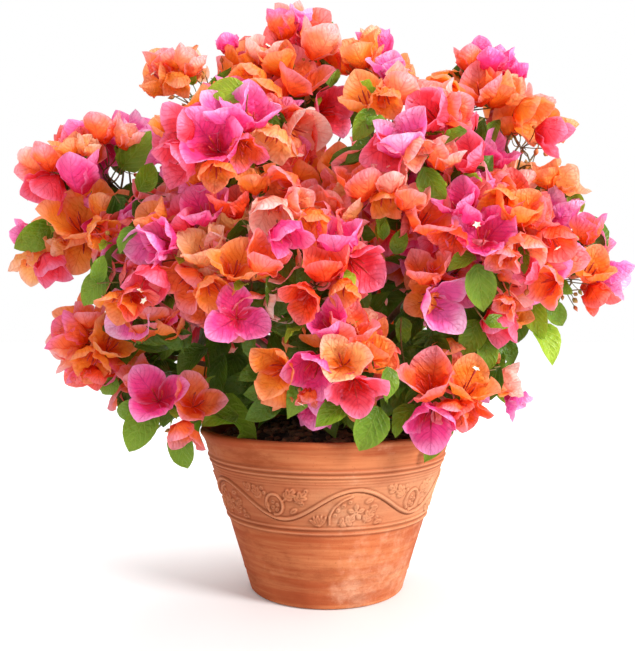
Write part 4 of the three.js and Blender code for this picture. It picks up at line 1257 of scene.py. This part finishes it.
print("places where the sky shows:", len(SKY_PLACES))


# %% Grow the sprays
def grow_sprays():
    """The sprays of every mass: where each forks, which way it faces, and what it carries."""
    sprays = []
    for number, row in enumerate(boughs):
        random = np.random.default_rng(700 + number)
        outward = unit(row["centre"] - HEART)
        count = int(row["reach"] * SPRAYS_PER_REACH)
        ways = np.concatenate([golden_directions(count, random.uniform(0, 6.28)) for _ in range(2)])
        for way in ways[ways @ outward > -0.55]:
            for trial in range(TRIALS):
                depth = row["reach"] * (1.0 - 0.45 * trial / TRIALS) - SPRAY_DEPTH
                fork = row["centre"] + way * max(depth, 4.0)
                face = unit(way + outward * 0.35 + [0, 0, 0.12])
                middle = fork + face * SPRAY_MIDDLE
                if not in_own_space(row, middle) or not over_pot(middle, 8) or not over_pot(fork, 6):
                    continue
                if any(np.linalg.norm(middle - other["middle"]) < SPRAY_SPACING for other in sprays):
                    continue
                if not hidden_by_plan(middle, "spray"):
                    continue
                start = row["foot"] + (row["hub"] - row["foot"]) * random.uniform(0.35, 1.0)
                sprays.append({"row": row, "start": start, "fork": fork, "face": face, "middle": middle,
                               "seed": 9000 + len(sprays), "low": middle[2] < LOW_Z})
                break
    return sprays


sprays = grow_sprays()
print("sprays:", len(sprays))


# %% [markdown]
# ### Blooms, leaves and twigs
#
# Nothing is built yet. Four lists note what grows where, and each kind of thing is made from its list
# afterwards, all at once. Every bloom and leaf notes its own chances too, so that adding one to the
# front changes none of the others.

# %% Noting what grows
UPWARDS = (0.0, 0.0, 1.0)
OPENNESS = (1.6, 1.9)         # the two numbers of a beta curve: most blooms are half open
SPRAY_LEAF_KINDS = ("bright", "middle", "middle", "deep")
TWIG_RADII = {                # at the thick end and at the thin one
    "stem": (2.2, 1.6), "branch": (1.2, 0.9), "front branch": (1.1, 0.8), "leaf branch": (1.0, 0.6),
    "inner branch": (0.9, 0.6), "stalk": (0.75, 0.6), "front stalk": (0.6, 0.5), "leaf stalk": (0.7, 0.6),
    "bare stalk": (0.7, 0.55), "bud stalk": (0.55, 0.45), "front bud stalk": (0.5, 0.4),
}
blooms, leaves, twigs, buds = [], [], [], []


def add_bloom(random, root, axis, colour, opened, scale):
    """Notes a bloom, and draws its turn about its axis and the seed of its bracts."""
    blooms.append({"root": root, "axis": axis, "colour": colour, "open": opened, "scale": scale,
                   "spin": random.uniform(0, 2.1), "seed": int(random.integers(0, 1 << 30))})


def add_leaf(random, root, axis, scale, kinds, face=UPWARDS):
    """Notes a leaf, and draws the eight chances of its shape and, from several kinds, its kind."""
    chances = random.uniform(size=8)
    kind = kinds[int(random.integers(0, len(kinds)))] if len(kinds) > 1 else kinds[0]
    leaves.append({"root": root, "axis": axis, "scale": scale, "random": chances, "kind": kind,
                   "face": face})


def add_twig(kind, start, end, bow):
    """Notes a twig of one of the thicknesses, which bows by a vector in its middle."""
    twigs.append((start, end, bow, *TWIG_RADII[kind]))


def up_the_stem(row, share):
    """The place at a share of the way up a mass's stem."""
    return row["foot"] + (row["hub"] - row["foot"]) * share


def frame_round(axis):
    """Two directions at right angles to an axis and to each other."""
    helper = np.array([0.0, 0.0, 1.0]) if abs(axis[2]) < 0.9 else np.array([1.0, 0.0, 0.0])
    u = unit(np.cross(helper, axis))
    return u, np.cross(axis, u)


def curved(start, end, bow, steps):
    """A path of steps points from start to end that bows by the vector in its middle."""
    t = np.linspace(0, 1, steps)[:, None]
    return start + (end - start) * t + 4 * t * (1 - t) * bow


# %% The planned front
SHARED_FORK = 34.0            # blooms no further than this from a fork grow from it


def new_fork(random, row, root, axis):
    """A fork behind a bloom: a branch leads to it, and two buds and a young leaf stand on it."""
    back = unit(row["hub"] - root)
    at = root + back * min(24, 0.5 * np.linalg.norm(row["hub"] - root)) - axis * 4
    add_twig("front branch", up_the_stem(row, random.uniform(0.4, 1.0)), at, 6 * random.normal(size=3))
    for k in range(3):
        side = unit(axis + 0.9 * random.normal(size=3))
        end = at + side * random.uniform(10, 22)
        add_twig("front bud stalk", at, end, random.normal(size=3))
        if k < 2:
            buds.append((end, side, random.uniform(4, 8)))
        elif not open_to_sky(end + side * 8, 8):
            add_leaf(random, end, side, random.uniform(0.28, 0.5), ["bright"])
    return {"row": row, "at": at}


def plant_front(random):
    """Places the planned blooms, with their forks and stalks, and then the planned leaves."""
    forks = []
    for across, down, colour, turn, facing, opened, length in bloom_plan:
        way = sight(across, down)
        middle, row, t = first_place(way, BLOOM_SINK)
        axis = screen_frame(way, turn, facing)
        scale = length * t / EYE_DISTANCE / BRACT_LENGTH
        root = middle - axis * 0.45 * BRACT_LENGTH * scale - way * random.uniform(-4, 7)
        # one that faces the eye shows less of its length, so it is a little larger and more open
        add_bloom(random, root, axis, colour, 1.1 * opened + 0.05 + 0.0025 * facing,
                  (0.95 + 0.0035 * facing) * scale)
        near = [fork for fork in forks
                if fork["row"] is row and np.linalg.norm(fork["at"] - root) < SHARED_FORK]
        if not near:
            near = [new_fork(random, row, root, axis)]
            forks.append(near[0])
        add_twig("front stalk", near[0]["at"], root, 1.5 * random.normal(size=3))
    for across, down, turn, length, kind in leaf_plan:
        way = sight(across, down)
        middle, row, t = first_place(way, LEAF_SINK)
        axis = screen_frame(way, turn, random.uniform(-12, 30))
        scale = length * t / EYE_DISTANCE / LEAF_LENGTH
        # deep leaves sit further in, and their darker green is painted shade
        sunk = random.uniform(0, 10) + (26 if kind == "deep" else 0)
        root = middle - axis * 0.5 * LEAF_LENGTH * scale + way * sunk
        face = unit(-way + [0, 0, 0.3] + 0.25 * random.normal(size=3))
        add_leaf(random, root, axis, scale, [kind], face)
        add_twig("leaf branch", up_the_stem(row, random.uniform(0.5, 1.0)), root, 3 * random.normal(size=3))


plant_front(np.random.default_rng(77))
print("front: blooms", len(blooms), "leaves", len(leaves))


# %% What each spray carries
def fill_spray(spray):
    """Three to five blooms fanned round the spray's face, one to three buds, and leaves spread up its
    twig. A bare spray has no blooms, and more leaves on longer stalks."""
    random = np.random.default_rng(spray["seed"])
    row, face, fork = spray["row"], spray["face"], spray["fork"]
    u, v = frame_round(face)

    def leant(spread, turn):
        return face * math.cos(spread) + (u * math.cos(turn) + v * math.sin(turn)) * math.sin(spread)

    add_twig("branch", spray["start"], fork, 6 * random.normal(size=3))
    lead, second = row["colours"]
    hue = lead if random.random() < 0.56 else second
    bare = random.random() < row["leafy"] * 0.22 + (0.1 if spray["low"] else 0)
    count = 0 if bare else int(random.integers(3, 6))
    spin = random.uniform(0, 2 * np.pi)
    for k in range(count):
        spread = 0.0 if count > 3 and k == 0 else random.uniform(0.55, 1.0)
        turn = spin + 2 * np.pi * k / max(count - (count > 3), 1) + random.normal(0, 0.2)
        way = unit(leant(spread, turn))
        root = fork + way * random.uniform(9, 17)
        axis = unit(way + [0, 0, 0.18])
        if open_to_sky(root + axis * 18, 16) or not hidden_by_plan(root + axis * 18, "bloom"):
            continue
        colour = hue
        if random.random() < 0.42:
            colour = NEIGHBOUR_COLOURS[hue][int(random.integers(0, 3))]
        add_bloom(random, root, axis, colour, random.beta(*OPENNESS), random.uniform(0.84, 1.08))
        add_twig("stalk", fork, root, 1.2 * random.normal(size=3))
    for k in range(int(random.integers(1, 4))):
        turn, spread = random.uniform(0, 2 * np.pi), random.uniform(0.3, 1.2)
        way = unit(leant(spread, turn))
        end = fork + way * random.uniform(8, 18)
        add_twig("bud stalk", fork, end, random.normal(size=3))
        buds.append((end, way, random.uniform(5, 10)))
    number = int(random.integers(5, 7)) if bare else int(random.random() < 0.8) + int(3 * row["leafy"])
    for k in range(number):
        knot = spray["start"] + (fork - spray["start"]) * random.uniform(0.25, 1.0)
        node = knot + (face * random.uniform(4, 22) if bare else 0)
        spread = random.uniform(0.5, 1.25) if bare else random.uniform(0.85, 1.5)
        way = unit(leant(spread, spin + k * 2.4) - [0, 0, 0.35 if spray["low"] else 0.1])
        if open_to_sky(node + way * 25, 13) or not hidden_by_plan(node + way * 36, "leaf"):
            continue
        add_leaf(random, node, way, random.uniform(0.62, 1.12), SPRAY_LEAF_KINDS)
        if bare:
            add_twig("bare stalk", knot, node, 0 * way)


for spray in sprays:
    fill_spray(spray)
print("with the sprays: blooms", len(blooms), "leaves", len(leaves))

# %% [markdown]
# ### Inside the crown
#
# Behind the front the bush is a thicket. Each mass's stem carries deeper green leaves all along it,
# and so does the end of each bough; that darker green is painted shade. Where planned blooms stand
# close all round a place, more blooms and leaves fill the space behind them, blooms above all high
# up, and the leaves there are the same painted-shade green. Last come low leaves over the soil, each from the
# nearest bough, with a gap at the front where the soil shows, also in that darker green of painted shade.

# %% Leaves along the stems
INNER_LEAVES = 18             # places tried along each stem
for number, row in enumerate(boughs):
    random = np.random.default_rng(1500 + number)
    foot, hub = row["foot"], row["hub"]
    add_twig("stem", foot, hub, random.normal(size=3))
    for k in range(INNER_LEAVES):
        t = random.uniform(-0.5, 1.0)
        node = foot + (hub - foot) * t if t > 0 else foot + (row["line"][-2] - foot) * -t
        way = unit(unit(random.normal(size=3)) + [0, 0, 0.1])
        clear = over_pot(node + way * 50, 4) and not open_to_sky(node + way * 30, 12)
        if clear and hidden_by_plan(node + way * 36, "inner leaf"):
            # a darker green leaf inside the crown: painted shade
            add_leaf(random, node + way * random.uniform(2, 14), way, random.uniform(0.8, 1.15), ["deep"])
            add_twig("leaf stalk", node, leaves[-1]["root"], 0 * way)

# %% The thicket behind the front
THICKET_STEP = 15             # between the places tried on the sheet
CROWD, CROWD_RADIUS = 6, 62.0             # planned blooms that must stand round a place
CROWD_SHIFT = 17.0            # how far the middle of those near it may lie from it
HIGH_Z, HIGH_BLOOMS, LOW_BLOOMS = 300, 0.8, 0.42         # the share of blooms over and under a height


def fill_thicket(random):
    """Tries a jittered grid of places on the sheet, and sets a bloom or a leaf behind each crowd."""
    grid = np.stack(np.meshgrid(np.arange(20, 630, THICKET_STEP), np.arange(40, 440, THICKET_STEP)), -1)
    grid = grid.reshape(-1, 2)
    for across, down in grid + random.uniform(-6, 6, grid.shape):
        offset = planned_places - [across, down]
        near = offset[np.hypot(*offset.T) < CROWD_RADIUS]
        if len(near) < CROWD or np.linalg.norm(near.mean(0)) > CROWD_SHIFT:
            continue
        way = sight(across, down)
        middle, row, _ = first_place(way, BLOOM_SINK)
        middle = middle + way * random.uniform(34, 62)
        axis = unit(random.normal(size=3) * [1, 0.35, 1])
        if not over_pot(middle, 6) or not over_pot(middle + axis * 24, 4) or open_to_sky(middle, 18):
            continue
        if random.random() < (HIGH_BLOOMS if middle[2] > HIGH_Z else LOW_BLOOMS):
            colour = str(random.choice([*row["colours"], "scarlet", "orange", "coral"]))
            axis = unit(axis - 0.8 * way)
            root = middle - axis * 18
            add_bloom(random, root, axis, colour, random.beta(*OPENNESS), random.uniform(0.95, 1.15))
            add_twig("inner branch", row["hub"], root, 3 * random.normal(size=3))
        else:
            root = middle - axis * 24
            # a darker green leaf behind the front: painted shade
            add_leaf(random, root, axis, random.uniform(0.8, 1.15), ["deep"], unit(-way + [0, 0, 0.3]))
            add_twig("inner branch", row["hub"], root, 0 * way)


random = np.random.default_rng(4242)
fill_thicket(random)
print("with the thicket: blooms", len(blooms), "leaves", len(leaves))

# %% Low leaves
LOW_LEAVES = 190              # places tried over the soil
stems = np.concatenate([row["line"] for row in boughs])
for k in range(LOW_LEAVES):
    turn = random.uniform(0.1, 2 * np.pi - 0.1) - np.pi / 2
    r, z = random.uniform(20, 135), random.uniform(169, 206)
    out = np.array([math.cos(turn), math.sin(turn), 0.0])
    if out[1] * r < -20 and abs(out[0]) < 0.75:
        continue
    axis = unit(out + 0.6 * random.normal(size=3) * [1, 1, 0.4])
    root = out * r + [0, 0, z]
    middle, tip = root + axis * 25, root + axis * 50
    clear = over_pot(tip, 5) and over_pot(middle, 5) and not open_to_sky(middle, 12)
    if clear and hidden_by_plan(middle, "low leaf"):
        # a darker green leaf over the soil: painted shade
        add_leaf(random, root, axis, random.uniform(0.7, 1.0), ["deep"])
        nearest = stems[np.linalg.norm(stems - root, axis=1).argmin()]
        add_twig("inner branch", nearest, root, 0 * root)
print("in all: blooms", len(blooms), "leaves", len(leaves), "twigs", len(twigs), "buds", len(buds))


# %% [markdown]
# ## Bracts
#
# What looks like a petal is a bract, a papery leaf: three stand round each flower. Young ones close
# into a lantern, older ones open flat with their edges rolled back. One number from 0 to 1 says how
# open a bloom is, and the slopes of its bracts follow from it.


# %% Build the bracts
def bract_arrays(chosen):
    """The blades of the blooms in a list, three to each, with their own small differences."""
    root, axis, back, size, slope, cross, wave = [], [], [], [], [], [], []
    for bloom in chosen:
        random = np.random.default_rng(bloom["seed"])
        u, v = frame_round(bloom["axis"])
        opened = bloom["open"]
        for k in range(3):
            turn = bloom["spin"] + 2 * np.pi * k / 3 + random.normal(0, 0.08)
            root.append(bloom["root"])
            axis.append(bloom["axis"])
            back.append(u * math.cos(turn) + v * math.sin(turn))
            size.append((BRACT_LENGTH * bloom["scale"] * random.uniform(0.93, 1.07),
                         BRACT_WIDTH * BRACT_LENGTH * bloom["scale"] * random.uniform(0.92, 1.12)))
            slope.append((1.05 + 0.2 * opened + random.normal(0, 0.06),
                          0.22 + 0.7 * opened + random.normal(0, 0.08),
                          -0.6 + 1.9 * opened + random.normal(0, 0.22)))
            cross.append((0.85 - 0.55 * opened, 0.25 + 0.6 * opened * random.uniform(0.3, 1.5), 0.34))
            wave.append((random.uniform(1.4, 3.2), random.uniform(1.3, 2.8), random.uniform(0, 6.28)))
    return [np.array(x, float) for x in (root, axis, back, size, slope, cross, wave)]


BRACT_ROWS, BRACT_COLUMNS = 13, 11


def make_blades(name, points, place, material):
    """A piece of foliage from blades' points (copies, rows, columns, 3) and their map."""
    copies, rows, columns, _ = points.shape
    make_piece(name, points.reshape(-1, 3), [grid_faces(rows, columns, copies)], material,
               MASS_NODES, uv=place.reshape(-1, 2))


for colour in BLOOM_COLOURS:
    chosen = [bloom for bloom in blooms if bloom["colour"] == colour]
    points, place = blades(*bract_arrays(chosen), BRACT_ROWS, BRACT_COLUMNS, widest=0.47, sharpness=0.62)
    make_blades(f"bracts_{colour}", points, place, BRACT_MATERIALS[colour])


# %% [markdown]
# ## Leaves
#
# The leaves are the same blade, narrower, folded along the midrib and drooping at the tip.


# %% Build the leaves
def leaf_arrays(chosen):
    """The blades of the leaves in a list: each droops, so its outer face looks mostly down."""
    root = np.array([leaf["root"] for leaf in chosen])
    axis = np.array([leaf["axis"] for leaf in chosen])
    chance = np.array([leaf["random"] for leaf in chosen])
    down = -np.array([leaf["face"] for leaf in chosen]) + 0.9 * (chance[:, :3] - 0.5)
    steep = np.abs((axis * unit(down)).sum(-1, keepdims=True)) > 0.9
    down = np.where(steep, unit(axis * [1, 1, 0] + [0.01, 0, 0]) * -np.sign(axis[:, 2:3] + 1e-6), down)
    scale = np.array([leaf["scale"] for leaf in chosen])
    size = np.stack([LEAF_LENGTH * scale, LEAF_WIDTH * scale * (0.85 + 0.3 * chance[:, 3])], 1)
    slope = np.stack([-0.35 + 0.3 * chance[:, 4], 0.12 + 0.2 * chance[:, 5], 0.45 + 0.7 * chance[:, 6]], 1)
    cross = np.stack([0.1 + 0.25 * chance[:, 7], 0.15 + 0 * scale, 0.16 + 0.2 * chance[:, 3]], 1)
    wave = np.stack([0.5 + 1.3 * chance[:, 4], 1.0 + 1.2 * chance[:, 5], 6.28 * chance[:, 6]], 1)
    return root, axis, down, size, slope, cross, wave


MOUTH_R, DRAPE_Z = 108.0, 167.0     # inside this radius is soil, and over this height is free air
CLEAR_OF_WALL, CLEAR_OF_SOIL = 1.6, 2.5
OUTSIDE_Z, OUTSIDE_R = [0, 2.5, 147, 152, 155.6], [wall_r(2.5), wall_r(2.5), 122.0, 124.4, POT_RIM_R]


def drape(points):
    """Leaves lie on what they meet. Near the lip, a point under DRAPE_Z goes out towards the pot's
    outer surface, the whole way at the rim's height. In the mouth it stays above the soil."""
    r = np.hypot(points[..., 0], points[..., 1])
    z = points[..., 2]
    outside = np.interp(z, OUTSIDE_Z, OUTSIDE_R) + CLEAR_OF_WALL
    share = np.clip((DRAPE_Z - z) / (DRAPE_Z - POT_HEIGHT - 1), 0, 1)
    pushed = r + share * np.clip(outside - r, 0, None)
    pushed = np.where(r > MOUTH_R, pushed, r)
    z = np.where(r > MOUTH_R, z, np.maximum(z, soil_z(r) + CLEAR_OF_SOIL))
    return np.concatenate([points[..., :2] * (pushed / r)[..., None], z[..., None]], -1)


LEAF_ROWS, LEAF_COLUMNS = 10, 7
for kind in LEAF_COLOURS:
    chosen = [leaf for leaf in leaves if leaf["kind"] == kind]
    points, place = blades(*leaf_arrays(chosen), LEAF_ROWS, LEAF_COLUMNS, widest=0.36, sharpness=1.05)
    make_blades(f"leaves_{kind}", drape(points), place, LEAF_MATERIALS[kind])

# %% [markdown]
# ## The true flowers
#
# Inside each cup stand three slender tubes, dark red and a little swollen at the end. Here and there
# one is open and shows a small cream star.


# %% Flower tubes
STAR_CHANCE, STAR_STRETCH = 0.01, 1.35           # few flowers are open, and those are longer
SHUT_RADII, OPEN_RADII = [0.45, 0.55, 0.65, 0.85, 0.3], [0.45, 0.55, 0.65, 0.7, 1.1]
tube_paths, tube_radii, stars = [], [], []
for bloom in blooms:
    random = np.random.default_rng(bloom["seed"] + 1)
    root, (u, v) = bloom["root"], frame_round(bloom["axis"])
    for k in range(3):
        turn = bloom["spin"] + 2 * np.pi * k / 3
        out = u * math.cos(turn) + v * math.sin(turn)
        length = random.uniform(15, 21) * bloom["scale"]
        opened = random.random() < STAR_CHANCE
        reach = bloom["axis"] * length * (STAR_STRETCH if opened else 1)
        end = root + reach + out * (3.0 + 3.5 * bloom["open"])
        tube_paths.append(curved(root + out * 0.8, end, out * 1.0, 5))
        tube_radii.append(OPEN_RADII if opened else SHUT_RADII)
        if opened:
            stars.append((end, unit(end - root)))
points, faces = tubes(np.array(tube_paths), np.array(tube_radii), 5)
make_piece("flower_tubes", points, faces, earthy("tube", "8E1A1C", "CE4030", 60.0, 0.5))


# %% Stars and buds
def build_stars(rows, seed):
    """Five-lobed stars: ten points round the mouth, long and short by turns, and a hollow middle."""
    random = np.random.default_rng(seed)
    points = []
    for end, way in rows:
        u, v = frame_round(way)
        turn = random.uniform(0, 1.2) + np.arange(10) * np.pi / 5
        far = np.where(np.arange(10) % 2, 2.0, 3.6) * random.uniform(0.85, 1.1)
        rim = end + way * 1.6 + far[:, None] * (np.cos(turn)[:, None] * u + np.sin(turn)[:, None] * v)
        ring = end + way * 1.1 + 1.1 * (np.cos(turn)[:, None] * u + np.sin(turn)[:, None] * v)
        points.append(np.concatenate([rim, ring, [end + way * 0.2]]))
    here = np.arange(10)
    beside = (here + 1) % 10
    quads = np.stack([here, beside, beside + 10, here + 10], 1)
    middle = np.stack([here + 10, beside + 10, np.full(10, 20)], 1)
    lift = (np.arange(len(rows)) * 21)[:, None, None]
    return np.concatenate(points), [(quads[None] + lift).reshape(-1, 4), (middle[None] + lift).reshape(-1, 3)]


star_points, star_faces = build_stars(stars, 61)
make_piece("flower_stars", star_points, star_faces, earthy("star", "F2E6BC", "FFFBEA", 80.0, 0.6))

BUD_SHAPE = (0.08, 0.24, 0.3, 0.24, 0.12, 0.01)      # its radius along it, as a share of its length
bud_paths = np.array([curved(end, end + way * length, 0 * way, 6) for end, way, length in buds])
bud_radii = np.array([[length * x for x in BUD_SHAPE] for _, _, length in buds])
points, faces = tubes(bud_paths, bud_radii, 6)
make_piece("flower_buds", points, faces, earthy("bud", "8A8A34", "D0643C", 45.0, 0.6))

# %% [markdown]
# ## Twigs
#
# Everything hangs on thin twigs, brown where they are old and green at the stalks of the blooms. A
# twig is a tube whose radius falls evenly from its thick end to its thin one.

# %% Twigs
TWIG_STEPS, TWIG_SIDES, WOODY_R = 6, 5, 1.0
twig_paths = np.array([curved(start, end, bow, TWIG_STEPS) for start, end, bow, _, _ in twigs])
twig_radii = np.array([np.linspace(low, high, TWIG_STEPS) for _, _, _, low, high in twigs])
woody = twig_radii[:, 0] > WOODY_R
for name, chosen, colours in (("twigs_woody", woody, ("54432C", "7E7046")),
                              ("twigs_green", ~woody, ("5E6A2C", "8C5A38"))):
    points, faces = tubes(twig_paths[chosen], twig_radii[chosen], TWIG_SIDES)
    make_piece(name, points, faces, earthy(name, *colours, 120.0, 0.8))

# %% [markdown]
# ## The studio
#
# The bush stands on a plain pale floor under soft light: a large key lamp from the front right, a
# very weak one from the left, one high behind that shines through the bracts, and a bright even sky.
# The floor gives off a little light of its own further out, so that it runs into the sky without an
# edge.

# %% Floor
FLOOR_HALF, FLOOR_DROP = 9.0, 0.0006       # metres
WHITE = (1, 1, 1, 1)
corners = [(x * FLOOR_HALF, y * FLOOR_HALF, -FLOOR_DROP) for x, y in ((-1, -1), (1, -1), (1, 1), (-1, 1))]
floor_mesh = bpy.data.meshes.new("floor")
floor_mesh.from_pydata(corners, [], [(0, 1, 2, 3)])
floor_material, floor_tree, floor_shader = new_material("pale_floor", 0.6)
floor_shader.inputs["Base Color"].default_value = (0.8, 0.8, 0.8, 1)
floor_shader.inputs["Specular IOR Level"].default_value = 0.2
floor_shader.inputs["Emission Color"].default_value = WHITE
floor_place = object_place(floor_tree)
floor_far = add(floor_tree, "ShaderNodeVectorMath", {"operation": "LENGTH"}, Vector=floor_place)
floor_lift = remap(floor_tree, floor_far.outputs[1], 0.1, 3.5, 0.06, 0.36, smooth=True)
floor_tree.links.new(floor_lift, floor_shader.inputs["Emission Strength"])
floor_mesh.materials.append(floor_material)
floor = bpy.data.objects.new("floor", floor_mesh)
bpy.context.scene.collection.objects.link(floor)
print("floor:", 2 * FLOOR_HALF, "m wide")


# %% Lights and sky
LIT_Z = 0.3                                # metres: the height that the lamps look at
SKY_LIGHT, SKY_SEEN = 0.86, 1.0            # its strength as a light, and as the camera sees it


def soft_lamp(name, place, power, size):
    """A square lamp that looks at the middle of the bush."""
    data = bpy.data.lights.new(name, "AREA")
    data.energy, data.size = power, size
    lamp = bpy.data.objects.new(name, data)
    lamp.location = place
    aim = Vector((0, 0, LIT_Z)) - Vector(place)
    lamp.rotation_euler = aim.to_track_quat("-Z", "Y").to_euler()
    bpy.context.scene.collection.objects.link(lamp)


soft_lamp("key", (1.9, -1.6, 1.5), 98, 0.8)
soft_lamp("fill", (-1.9, -1.6, 0.9), 2, 1.6)
soft_lamp("over", (-0.2, 1.2, 2.3), 46, 1.4)

world = bpy.data.worlds.new("sky")
world.use_nodes = True
sky = world.node_tree
seen = add(sky, "ShaderNodeLightPath").outputs["Is Camera Ray"]
background = sky.nodes["Background"]
background.inputs["Color"].default_value = WHITE
sky.links.new(remap(sky, seen, 0.0, 1.0, SKY_LIGHT, SKY_SEEN), background.inputs["Strength"])
bpy.context.scene.world = world
bpy.context.scene.view_settings.view_transform = "Standard"
print("studio ready")
